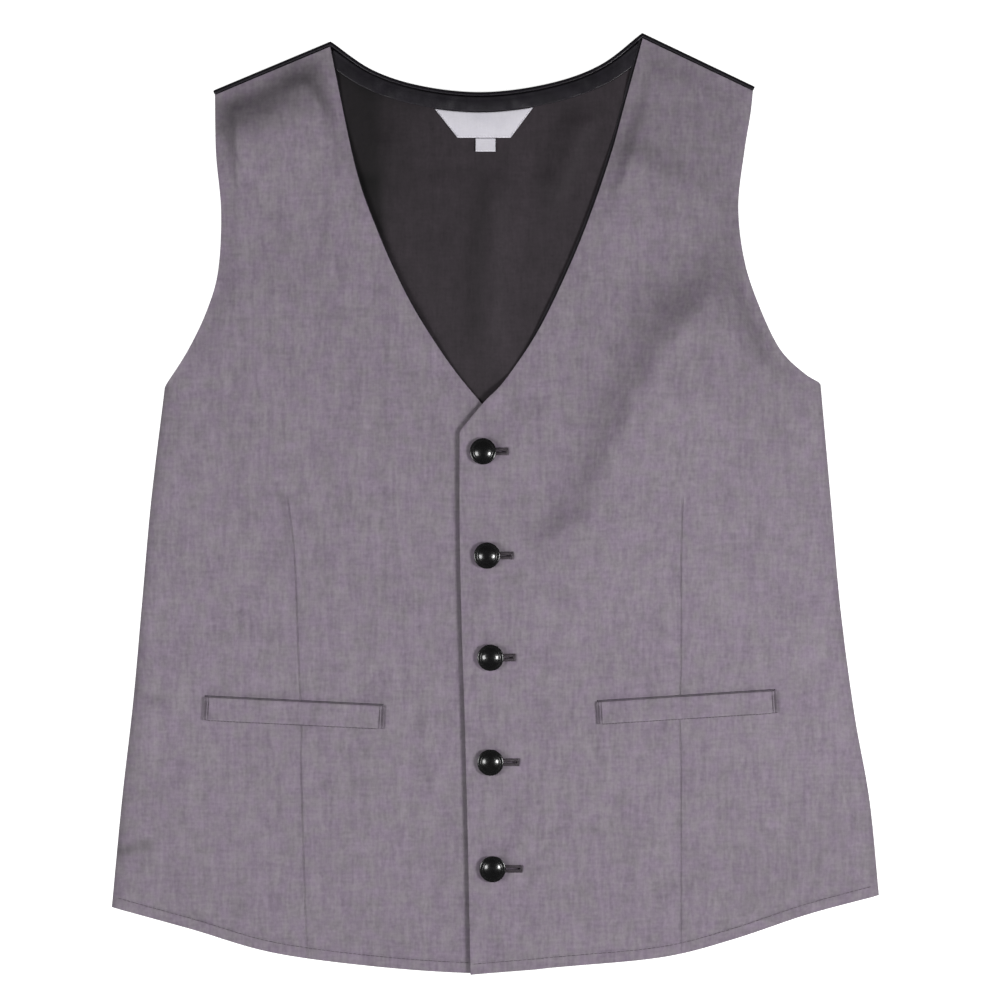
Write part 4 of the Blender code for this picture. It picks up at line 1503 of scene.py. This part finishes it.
@dataclass
class Back:
    """The outer back with its turned edges, its lining, and the band inside the neck."""

    layers: Layers
    seam: TopSeam
    label: Label
    right_corner: Pair = (-257.4, -270.3)
    left_corner: Pair = (257.2, -262.3)
    inset: float = 1.2 * MM
    hem_rise: float = 6 * MM
    hem_sag: float = 8 * MM
    turn_lip: float = 0.6 * MM
    turn_steps: int = 12
    turn_end: float = 0.25 * MM
    hem_thin: Pair = (0.0, 0.6)
    cusp_run: float = 15 * MM
    shoulder_top: float = 5.9 * MM
    lining_side_share: float = 0.022
    lining_hem_share: float = 0.02
    lining_top_share: float = 0.003
    lining_rows: int = 190
    lining_columns: int = 150
    lining_held: float = 5 * MM
    lining_free: float = 14 * MM
    hem_pieces: int = 16
    side_pieces: int = 60
    facing_depth: float = 10.4 * MM
    facing_end_share: float = 0.012
    facing_columns: int = 200
    facing_cell: float = 1.0 * MM
    facing_flat_end: float = 30 * MM
    pucker: float = 0.26 * MM
    puckers: tuple[tuple[float, float, float], ...] = ((1.0, 2.6, 0.0), (0.7, 4.3, 1.3), (0.5, 1.9, 0.0))
    pucker_base: float = 2.2
    pucker_edge: float = 0.35
    ditch: float = 0.25 * MM
    ditch_at: float = 2.6 * MM
    ditch_run: float = 0.45 * MM
    cell: float = 4.5 * MM

    @property
    def hem(self) -> Line:
        """The back's hem, a shallow curve between the side seams."""
        right, left = in_metres((self.right_corner, self.left_corner))
        right = right + np.array([self.inset, self.hem_rise])
        left = left + np.array([-self.inset, self.hem_rise])
        middle = 0.5 * (right + left) - np.array([0.0, self.hem_sag])
        return Line(smooth_line(np.stack([right, middle, left]), self.hem_pieces))

    def outline(self, right: Front, left: Front) -> Patch:
        """Draws the back's flat part.

        Args:
            right: The wearer's right front.
            left: The left one.

        Returns:
            The patch between the hem, the seam and the two sides.
        """
        sides, shares = [], np.linspace(0.0, 1.0, self.side_pieces)
        for front, end in ((right, 0), (left, -1)):
            corner = self.hem.points[end]
            inset = front.outer.moved(self.inset if front.on_left else -self.inset).points
            underarm = len(front.side_line.points) - 1
            low = [point for point in inset[: underarm + 1] if point[1] > corner[1] + self.hem_rise]
            lower = Line(np.vstack([corner, *low]))
            upper = Line(np.vstack([inset[underarm:-1], self.seam.line.points[end]]))
            sides.append(np.vstack([lower.at(shares[:-1] * lower.length), upper.at(shares * upper.length)]))
        return Patch(self.hem.points, self.seam.line.points, *sides)

    def build_outer(self, patch: Patch, material: Material) -> Piece:
        """Makes the outer back: a flat sheet whose shoulder and neck edges turn up and over.

        Args:
            patch: Its flat part.
            material: The satin.

        Returns:
            The object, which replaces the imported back.
        """
        wall, seam = self.layers.back_wall, self.seam.line
        close = in_metres((0.0, 0.15, 0.4, 0.9, 2.0))
        up = patch.rows(spaced(patch.levels.length, self.cell, close))
        steps = seam.steps / seam.length
        shares = np.unique(np.concatenate([steps, close / seam.length, 1 - close / seam.length]))
        rows = [with_height(row, 0.0) for row in patch.at(shares, up)]
        along = shares * seam.length
        in_neck = np.minimum(along - seam.steps[self.seam.neck_start], seam.steps[self.seam.neck_end] - along)
        fall = ease(in_neck / self.cusp_run)
        height = self.shoulder_top + (self.layers.neck_top - self.shoulder_top) * fall
        turns = np.linspace(0.0, math.pi, self.turn_steps + 1)
        reaches = self.turn_lip + (self.seam.turn - self.turn_lip) * np.sin(turns)
        for turn, reach in [*zip(turns, reaches), (math.pi, self.turn_end)]:
            moved = seam.moved(reach).points
            spots = np.stack([np.interp(shares, steps, axis) for axis in moved.T], axis=1)
            rows.append(with_height(spots, height * (1 - math.cos(turn)) / 2))
        outer = np.stack(rows)
        normals = surface_normals(outer)
        half = np.full(outer.shape[:2], wall / 2)
        half *= rounded(np.minimum(along, seam.length - along), wall)[None] * 2 / wall
        half[:2] *= np.array(self.hem_thin)[:, None]
        half[-1] = 0.0
        centre = outer + normals * (wall / 2)
        piece = shell("back_satin", centre + normals * half[..., None], centre - normals * half[..., None])
        dress(piece, material)
        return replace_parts(piece, "back")

    def build_lining(self, patch: Patch, right: Front, left: Front, material: Material) -> Piece:
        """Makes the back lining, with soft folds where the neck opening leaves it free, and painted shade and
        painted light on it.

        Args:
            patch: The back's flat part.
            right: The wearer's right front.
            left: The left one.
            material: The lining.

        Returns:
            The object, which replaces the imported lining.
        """
        wall = self.layers.lining_wall
        up = np.linspace(self.lining_hem_share, 1 - self.lining_top_share, self.lining_rows)
        across = np.linspace(self.lining_side_share, 1 - self.lining_side_share, self.lining_columns)
        spots = patch.at(across, up)
        flat = spots.reshape(-1, 2)
        in_neck = np.minimum(-right.inner.measure(flat)[0], left.inner.measure(flat)[0])
        below = np.minimum(-self.seam.neck.measure(flat)[0] - self.facing_depth, self.label.distance(flat))
        free = ease((np.minimum(in_neck, below) - self.lining_held) / self.lining_free)
        height = (fold_heights(LINING_FOLDS, flat) * free).reshape(spots.shape[:2])
        centre = self.layers.lining_under + wall / 2 + height
        piece = slab("back_lining_cloth", spots, centre, closed(centre.shape, wall / 2))
        # painted shade and painted light from the lining's table, none for steepness
        paint_shade(piece, painted_shade_shares(LINING_PAINTED_SHADES, piece), turned=0.0)
        dress(piece, material)
        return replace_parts(piece, "back_lining")

    def build_facing(self, material: Material) -> Line:
        """Makes the puckered band inside the back neck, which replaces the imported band.

        Args:
            material: The satin.

        Returns:
            The line of its lower edge.
        """
        neck, wall, gap = self.seam.neck, self.layers.facing_wall, self.layers.gap
        end = self.facing_end_share
        along = np.linspace(end, 1 - end, self.facing_columns) * neck.length
        depth = gap + spaced(self.facing_depth - gap, self.facing_cell, in_metres((0.0, 0.15, 0.4, 0.9)))
        inwards = -turned_left(neck.way(along))
        spots = neck.at(along)[:, None] + inwards[:, None] * depth[None, :, None]
        free = ease(np.minimum(along, neck.length - along) / self.facing_flat_end) ** 2
        waves = sum(share * np.sin(along / (run * MM) + shift) for share, run, shift in self.puckers)
        swell = self.pucker * (waves + self.pucker_base) * free
        deep = (depth - depth[0]) / (depth[-1] - depth[0])
        ditch = self.ditch * bell(depth - self.ditch_at, self.ditch_run)
        full = self.pucker_edge + (1 - self.pucker_edge) * np.sin(deep * math.pi)
        centre = self.layers.inner_rest + wall / 2 + np.outer(swell, full)
        half = closed(centre.shape, rounded(np.minimum(depth - depth[0], depth[-1] - depth), wall))
        piece = slab("neck_facing_satin", spots, centre, half, -ditch)
        dress(piece, material)
        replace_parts(piece, "neck_facing")
        return Line(spots[:, -1])


def surface_normals(grid: Points) -> Points:
    """Returns the upward unit normals of a grid of places whose columns run right and rows run up."""
    normals = np.cross(np.gradient(grid, axis=1), np.gradient(grid, axis=0))
    return normals / np.maximum(np.linalg.norm(normals, axis=-1, keepdims=True), 1e-12)


@dataclass
class Welt:
    """A welt pocket: a folded strip sewn on the face of its front, a dark strip painted as the shade in its
    mouth, and its end tacks.
    """

    front: Front
    wall: float = 0.9 * MM
    lie: float = 0.15 * MM
    spring: float = 0.12 * MM
    spring_run: float = 18 * MM
    bead: float = 0.22 * MM
    bead_at: float = 1.6 * MM
    bead_run: float = 1.5 * MM
    mouth_width: float = 1.0 * MM
    mouth_inset: Pair = (0.6 * MM, 1.0 * MM)
    mouth_lie: float = 0.13 * MM
    mouth_half: float = 0.1 * MM
    mouth_tuck: float = 1.2 * MM
    mouth_columns: int = 90
    tacks: tuple[tuple[int, float, float], ...] = (
        (-1, 1.3, 1.8),
        (-1, 3.1, 0.9),
        (1, 1.2, 1.8),
        (1, 3.1, 0.9),
    )
    tack_start: float = 0.4 * MM
    tack_pitch: float = 0.5 * MM
    tack_radius: float = 0.22 * MM
    stitch_margin: float = 4 * MM
    stitch_pitch: float = 2.1 * MM
    stitch_length: float = 1.7 * MM
    stitch_radius: float = 0.2 * MM
    stitch_lie: float = 0.3 * MM
    arch: float = 0.1 * MM
    cells: Pair = (2.0 * MM, 1.2 * MM)

    def __post_init__(self) -> None:
        """Takes its name, its size and its direction from its front."""
        strip = self.front.pattern.welt
        self.name = self.front.name.replace("front", "welt")
        self.middle = in_metres((strip.x, strip.y))
        self.length, self.height = strip.length * MM, strip.height * MM
        turn = math.radians(strip.tilt)
        self.way = np.array([math.cos(turn), math.sin(turn), 0.0])

    def spots(self, aside: Points, up: Points) -> Points:
        """Places a grid on the welt.

        Args:
            aside: Distances along it from its middle.
            up: Distances across it from its middle.

        Returns:
            Rows, columns and two coordinates.
        """
        way = self.way[:2]
        return self.middle + aside[None, :, None] * way + up[:, None, None] * np.array([-way[1], way[0]])

    def face(self, spots: Points) -> Points:
        """Returns the height of the front's face under a grid of places."""
        return self.front.face(spots.reshape(-1, 2)).reshape(spots.shape[:-1])

    def build(self, material: Material) -> None:
        """Makes the strip, round at its folded edges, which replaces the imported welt.

        Args:
            material: The suiting.
        """
        close = in_metres((0.0, 0.12, 0.35, 0.7, 1.3))
        aside = spaced(self.length, self.cells[0], close) - self.length / 2
        up = spaced(self.height, self.cells[1], close) - self.height / 2
        spots = self.spots(aside, up)
        edge_x = (self.length / 2 - np.abs(aside))[None, :]
        edge_y = (self.height / 2 - np.abs(up))[:, None]
        half = rounded(np.minimum(edge_x, edge_y), self.wall)
        spring = self.spring * ease(up / self.height + 0.5)[:, None] * ease(edge_x / self.spring_run)
        centre = self.face(spots) + self.lie + self.wall / 2 + spring
        bead = self.bead * bell(edge_y - self.bead_at, self.bead_run)
        piece = slab(self.name + "_cloth", spots, centre, half, bead)
        # painted shade where the welt's edges stand steeply
        paint_shade(piece)
        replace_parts(dress(piece, material), self.name)

    def build_mouth(self, material: Material) -> Piece:
        """Makes a dark strip along the welt's upper edge, painted as the shade in the pocket's mouth."""
        first, last = self.mouth_inset
        aside = np.linspace(-self.length / 2 + first, self.length / 2 - last, self.mouth_columns)
        up = self.height / 2 + np.array([-self.mouth_tuck, 0.0, self.mouth_width / 2, self.mouth_width])
        spots = self.spots(aside, up)
        half = closed(spots.shape[:2], self.mouth_half)
        piece = slab(self.name + "_mouth", spots, self.face(spots) + self.mouth_lie, half)
        return dress(piece, material)

    def build_tacks(self, needle: Needle, material: Material) -> Piece:
        """Sews the columns of short stitches at the welt's ends."""
        aside = np.array([side * (self.length / 2 - inset * MM) for side, inset, _ in self.tacks])
        up = np.arange(-self.height / 2 + self.tack_start, self.height / 2, self.tack_pitch)
        spots = self.spots(aside, up).swapaxes(0, 1).reshape(-1, 2)
        lengths = np.repeat([size * MM for _, _, size in self.tacks], len(up))
        top = with_height(spots, self.front.face(spots) + self.lie + self.wall + self.arch)
        run = needle.run(self.name + "_tacks", top, self.way, lengths, self.tack_radius, self.arch)
        return dress(run, material)

    def build_lower_stitches(self, needle: Needle, material: Material) -> Piece:
        """Sews the run of small stitches along the welt's lower edge."""
        end = self.length / 2 - self.stitch_margin
        aside = np.arange(-end, end, self.stitch_pitch)
        spots = self.spots(aside, np.array([-self.height / 2 - self.lie]))[0]
        top = with_height(spots, self.front.face(spots) + self.stitch_lie)
        name = self.name + "_lower_stitches"
        run = needle.run(name, top, self.way, self.stitch_length, self.stitch_radius, self.arch)
        return dress(run, material)


@dataclass
class Button:
    """A domed button with a groove and a rim, modelled once and copied to each place."""

    profile: tuple[Pair, ...] = (
        (6.5, 0.0),
        (8.4, 0.7),
        (9.0, 1.4),
        (8.8, 2.0),
        (8.2, 2.3),
        (7.5, 2.3),
        (6.9, 2.1),
        (6.5, 2.15),
        (6.1, 2.55),
        (5.2, 3.1),
        (4.0, 3.61),
        (2.6, 4.02),
        (1.2, 4.24),
        (0.4, 4.3),
    )
    sides: int = 40
    height: float = 4.3 * MM
    shank_radius: float = 1.2 * MM
    shank_depth: float = 0.3 * MM
    shank_sides: int = 16
    shank_bevel: float = 0.15 * MM

    def model(self) -> bpy.types.Mesh:
        """Models the button over the origin by extruding rings from its foot.

        Returns:
            Its mesh.
        """
        start_afresh()
        foot = self.profile[0][0] * MM
        bpy.ops.mesh.primitive_circle_add(vertices=self.sides, radius=foot, fill_type="NGON")
        made = bpy.context.object
        edit_all()
        for (radius, height), (next_radius, next_height) in zip(self.profile, self.profile[1:]):
            rise = {"value": (0.0, 0.0, (next_height - height) * MM)}
            bpy.ops.mesh.extrude_region_move(TRANSFORM_OT_translate=rise)
            share = next_radius / radius
            bpy.ops.transform.resize(value=(share, share, 1.0))
        bpy.ops.mesh.select_all(action="SELECT")
        bpy.ops.mesh.normals_make_consistent(inside=False)
        bpy.ops.object.mode_set(mode="OBJECT")
        smooth = made.modifiers.new("smooth", "SUBSURF")
        smooth.levels = smooth.render_levels = 1
        bpy.ops.object.modifier_apply(modifier="smooth")
        bpy.ops.object.shade_smooth()
        mesh = made.data
        bpy.data.objects.remove(made)
        return mesh

    def place(self, number: int, master: bpy.types.Mesh, spot: Fastening, material: Material) -> Piece:
        """Puts a copy of the button in its place, leaning a little on its shank.

        Args:
            number: The button's number.
            master: The modelled mesh.
            spot: Its place and lean.
            material: The polish.

        Returns:
            The object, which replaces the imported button.
        """
        name = f"button_{number}"
        corners = corners_of(master)
        corners[:, 2] -= corners[:, 1] * math.radians(spot.lean)
        corners += (spot.x * MM, spot.y * MM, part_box(name)[1].z - self.height)
        mesh = master.copy()
        mesh.name = name
        mesh.vertices.foreach_set("co", corners.ravel())
        mesh.update()
        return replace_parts(dress(link(name + "_dome", mesh), material), name)

    def build_shank(self, number: int, spot: Fastening, material: Material) -> Piece:
        """Winds the thread shank that holds a button through its buttonhole.

        Args:
            number: The button's number.
            spot: Its place.
            material: The thread.

        Returns:
            The object.
        """
        low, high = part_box(f"button_{number}")
        top = high.z - self.height + self.shank_depth
        start_afresh()
        bpy.ops.mesh.primitive_cylinder_add(
            vertices=self.shank_sides,
            radius=self.shank_radius,
            depth=top - low.z,
            location=(spot.x * MM, spot.y * MM, (top + low.z) / 2),
            end_fill_type="TRIFAN",
        )
        made = bpy.context.object
        bpy.ops.object.transform_apply(location=True, rotation=True, scale=True)
        edit_all()
        bpy.ops.mesh.bevel(offset=self.shank_bevel, segments=2)
        bpy.ops.object.mode_set(mode="OBJECT")
        made.name = made.data.name = f"button_{number}_shank"
        return dress(made, material)


@dataclass
class Buttonhole:
    """A keyhole buttonhole: its cut, and the stitches that bind it."""

    front: Front
    spot: Fastening
    width: float = 0.9 * MM
    eye: float = 1.7 * MM
    eye_sides: int = 25
    slit_short: float = 1.6
    slit_point: float = 0.3 * MM
    cut_low: float = 4.0 * MM
    cut_high: float = 20.0 * MM
    bar_height: float = 5.4 * MM
    bar_start: float = 5.2 * MM
    pitch: float = 0.56 * MM
    tack_places: tuple[float, ...] = (-1.3, -0.75, -0.2)
    stitch_overlap: float = 0.1 * MM
    stitch_lie: float = 0.2 * MM
    stitch_radius: float = 0.27 * MM
    stitch_arch: float = 0.18 * MM
    wander: float = 0.04

    def __post_init__(self) -> None:
        """Measures where the hole lies and where its slit ends."""
        self.middle = in_metres((self.spot.x, self.spot.y))
        self.slit_end = (self.spot.reach - self.slit_short) * MM

    def cut(self, cloth: Piece) -> None:
        """Cuts the hole: an eye round the shank, and a slit away from the front's edge.

        Args:
            cloth: The upper front's cloth.
        """
        opening = math.asin(self.width / 2 / self.eye)
        turns = np.linspace(opening, math.tau - opening, self.eye_sides)
        end, half = self.slit_end, self.width / 2
        slit = np.array([(end, -half), (end + self.slit_point, 0.0), (end, half)])
        eye = np.stack([np.cos(turns), np.sin(turns)], axis=1) * self.eye
        flat = self.middle + np.vstack([slit, eye])
        count = len(flat)
        faces = [tuple(range(count))[::-1], tuple(range(count, 2 * count))]
        faces += [(i, (i + 1) % count, (i + 1) % count + count, i + count) for i in range(count)]
        corners = np.vstack([with_height(flat, self.cut_low), with_height(flat, self.cut_high)])
        cutter = new_piece("hole_cutter", corners, faces, smooth=False)
        hole = cloth.modifiers.new("hole", "BOOLEAN")
        hole.operation = "DIFFERENCE"
        hole.solver = "EXACT"
        hole.object = cutter
        start_afresh()
        bpy.context.view_layer.objects.active = cloth
        bpy.ops.object.modifier_apply(modifier=hole.name)
        discard(cutter)

    def sew(self, number: int, needle: Needle, material: Material) -> Piece:
        """Binds both sides of the slit and its end with close stitches.

        Args:
            number: The buttonhole's number, counted from the neck.
            needle: Makes the stitches.
            material: The twist.

        Returns:
            The object.
        """
        along = np.arange(self.bar_start, self.slit_end, self.pitch)
        reach = (self.bar_height - self.width) / 2
        off = np.full(len(along), self.width / 2 + reach / 2 - self.stitch_overlap)
        tack = self.spot.reach * MM + in_metres(self.tack_places)
        rows = ((along, off), (along + self.pitch / 2, -off), (tack, np.zeros(len(tack))))
        spots = self.middle + np.vstack([np.stack(row, axis=1) for row in rows])
        length = np.concatenate([np.full(2 * len(along), reach), np.full(len(tack), self.bar_height)])
        wander = np.random.default_rng(number).normal(0.0, self.wander, len(spots))
        ways = np.stack([wander, np.ones(len(spots)), np.zeros(len(spots))], axis=1)
        ways /= np.linalg.norm(ways, axis=1, keepdims=True)
        centres = with_height(spots, self.front.underside(spots) + self.front.wall + self.stitch_lie)
        name = f"buttonhole_{number}_stitches"
        run = needle.run(name, centres, ways, length, self.stitch_radius, self.stitch_arch)
        return dress(run, material)


@dataclass
class Studio:
    """A pale floor, soft lights from the right, the left and below, and a camera straight above."""

    camera_place: tuple[float, float, float] = (3.0 * MM, 2.7 * MM, 2.499)
    lens: float = 134.0
    key_place: tuple[float, float, float] = (0.85, -0.16, 0.85)
    key_size: Pair = (0.34, 0.34)
    key_power: float = 9.7
    left_size: Pair = (0.46, 0.46)
    left_power: float = 7.35
    fill_place: tuple[float, float, float] = (0.0, -3.3, 1.2)
    fill_size: Pair = (3.6, 0.9)
    fill_power: float = 42.0
    ambient: float = 0.0625
    floor_half: float = 20.0
    floor_z: float = -0.1 * MM

    def add_lamp(self, name: str, place: Sequence[float], size: Pair, power: float) -> Piece:
        """Adds a soft box that faces the garment.

        Args:
            name: The lamp's name.
            place: Where it stands.
            size: Its width and height.
            power: Its watts.

        Returns:
            The lamp.
        """
        lamp = bpy.data.lights.new(name, "AREA")
        lamp.shape = "RECTANGLE"
        lamp.size, lamp.size_y = size
        lamp.energy = power
        box = link(name, lamp)
        box.location = place
        box.rotation_euler = (-Vector(place)).to_track_quat("-Z", "Y").to_euler()
        box.visible_camera = False
        return box

    def light(self) -> None:
        """Sets the lamps and the dim light of the room."""
        x, y, z = self.key_place
        self.add_lamp("left_softbox", (-x, y, z), self.left_size, self.left_power)
        self.add_lamp("right_softbox", (x, y, z), self.key_size, self.key_power)
        self.add_lamp("low_fill", self.fill_place, self.fill_size, self.fill_power).visible_glossy = False
        world = bpy.data.worlds.new("room")
        world.use_nodes = True
        room = {"Color": (1.0, 1.0, 1.0, 1.0), "Strength": self.ambient}
        Graph(world.node_tree).feed(world.node_tree.nodes["Background"], room)
        bpy.context.scene.world = world
        bpy.context.scene.view_settings.view_transform = "Standard"

    def lay_floor(self) -> None:
        """Lays the pale floor just under the garment."""
        corners = [(x, y, self.floor_z) for x, y in ((-1, -1), (1, -1), (1, 1), (-1, 1))]
        corners = np.array(corners) * (self.floor_half, self.floor_half, 1.0)
        floor = new_piece("floor", corners, [(0, 1, 2, 3)], smooth=False)
        paper, graph, shader = start_material("pale_paper", (0.8, 0.8, 0.8))
        glow = {"Emission Color": (1.0, 1.0, 1.0, 1.0), "Emission Strength": 0.8}
        graph.feed(shader, {"Base Color": (0.8, 0.8, 0.8, 1.0), "Roughness": 0.9, **glow})
        floor.data.materials.append(paper)
        floor.visible_diffuse = floor.visible_glossy = False

    def aim_camera(self) -> None:
        """Puts the camera straight above the garment."""
        lens = bpy.data.cameras.new("camera")
        lens.lens = self.lens
        lens.sensor_width = 36.0
        lens.clip_start, lens.clip_end = 0.1, 20.0
        camera = link("camera", lens)
        camera.location = self.camera_place
        bpy.context.scene.camera = camera


@dataclass
class Waistcoat:
    """The whole garment, put together from the surface up."""

    cloths: Wardrobe
    layers: Layers = field(default_factory=Layers)
    needle: Needle = field(default_factory=Needle)

    def __post_init__(self) -> None:
        """Draws the pieces' outlines."""
        seam = TopSeam(self.layers)
        self.back = Back(self.layers, seam, Label(self.layers))
        self.right = Front("right_front", RIGHT, self.layers, seam, self.back.hem)
        self.left = Front("left_front", LEFT, self.layers, seam, self.back.hem, under=self.right)

    def build_back(self) -> None:
        """Makes the back, its lining, the neck band and the label."""
        patch = self.back.outline(self.right, self.left)
        self.back.build_outer(patch, self.cloths.satin)
        self.back.build_lining(patch, self.right, self.left, self.cloths.lining)
        facing_edge = self.back.build_facing(self.cloths.satin)
        self.back.label.build(facing_edge, self.needle, self.cloths.label, self.cloths.label_thread)

    def build_fronts(self) -> None:
        """Makes both fronts with their sewing and welts, and cuts the buttonholes."""
        for front in (self.right, self.left):
            piece = front.build_cloth(self.cloths.suiting)
            if front is self.left:
                for spot in FASTENINGS:
                    Buttonhole(front, spot).cut(piece)
            front.build_edge_strip(self.cloths.satin)
            front.build_hem_stitches(self.needle, self.cloths.seam_thread)
        for front in (self.right, self.left):
            welt = Welt(front)
            welt.build(self.cloths.suiting)
            welt.build_mouth(self.cloths.pocket_mouth_shade)
            welt.build_tacks(self.needle, self.cloths.tack_thread)
            welt.build_lower_stitches(self.needle, self.cloths.seam_thread)

    def build_fastenings(self) -> None:
        """Sews the buttonholes and puts the buttons on."""
        button = Button()
        master = button.model()
        for number, spot in enumerate(FASTENINGS, start=1):
            Buttonhole(self.left, spot).sew(number, self.needle, self.cloths.hole_thread)
            button.place(number, master, spot, self.cloths.button)
            button.build_shank(number, spot, self.cloths.hole_thread)
        bpy.data.meshes.remove(master)


def main() -> None:
    """Loads the frame, dresses the waistcoat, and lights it."""
    logging.basicConfig(level=logging.INFO, format="%(name)s: %(message)s")
    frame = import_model()
    LOG.info("packed frame with %d nodes", len(frame["nodes"]))
    waistcoat = Waistcoat(Wardrobe())
    waistcoat.build_back()
    waistcoat.build_fronts()
    waistcoat.build_fastenings()
    studio = Studio()
    studio.lay_floor()
    studio.light()
    studio.aim_camera()


if __name__ == "__main__":
    main()
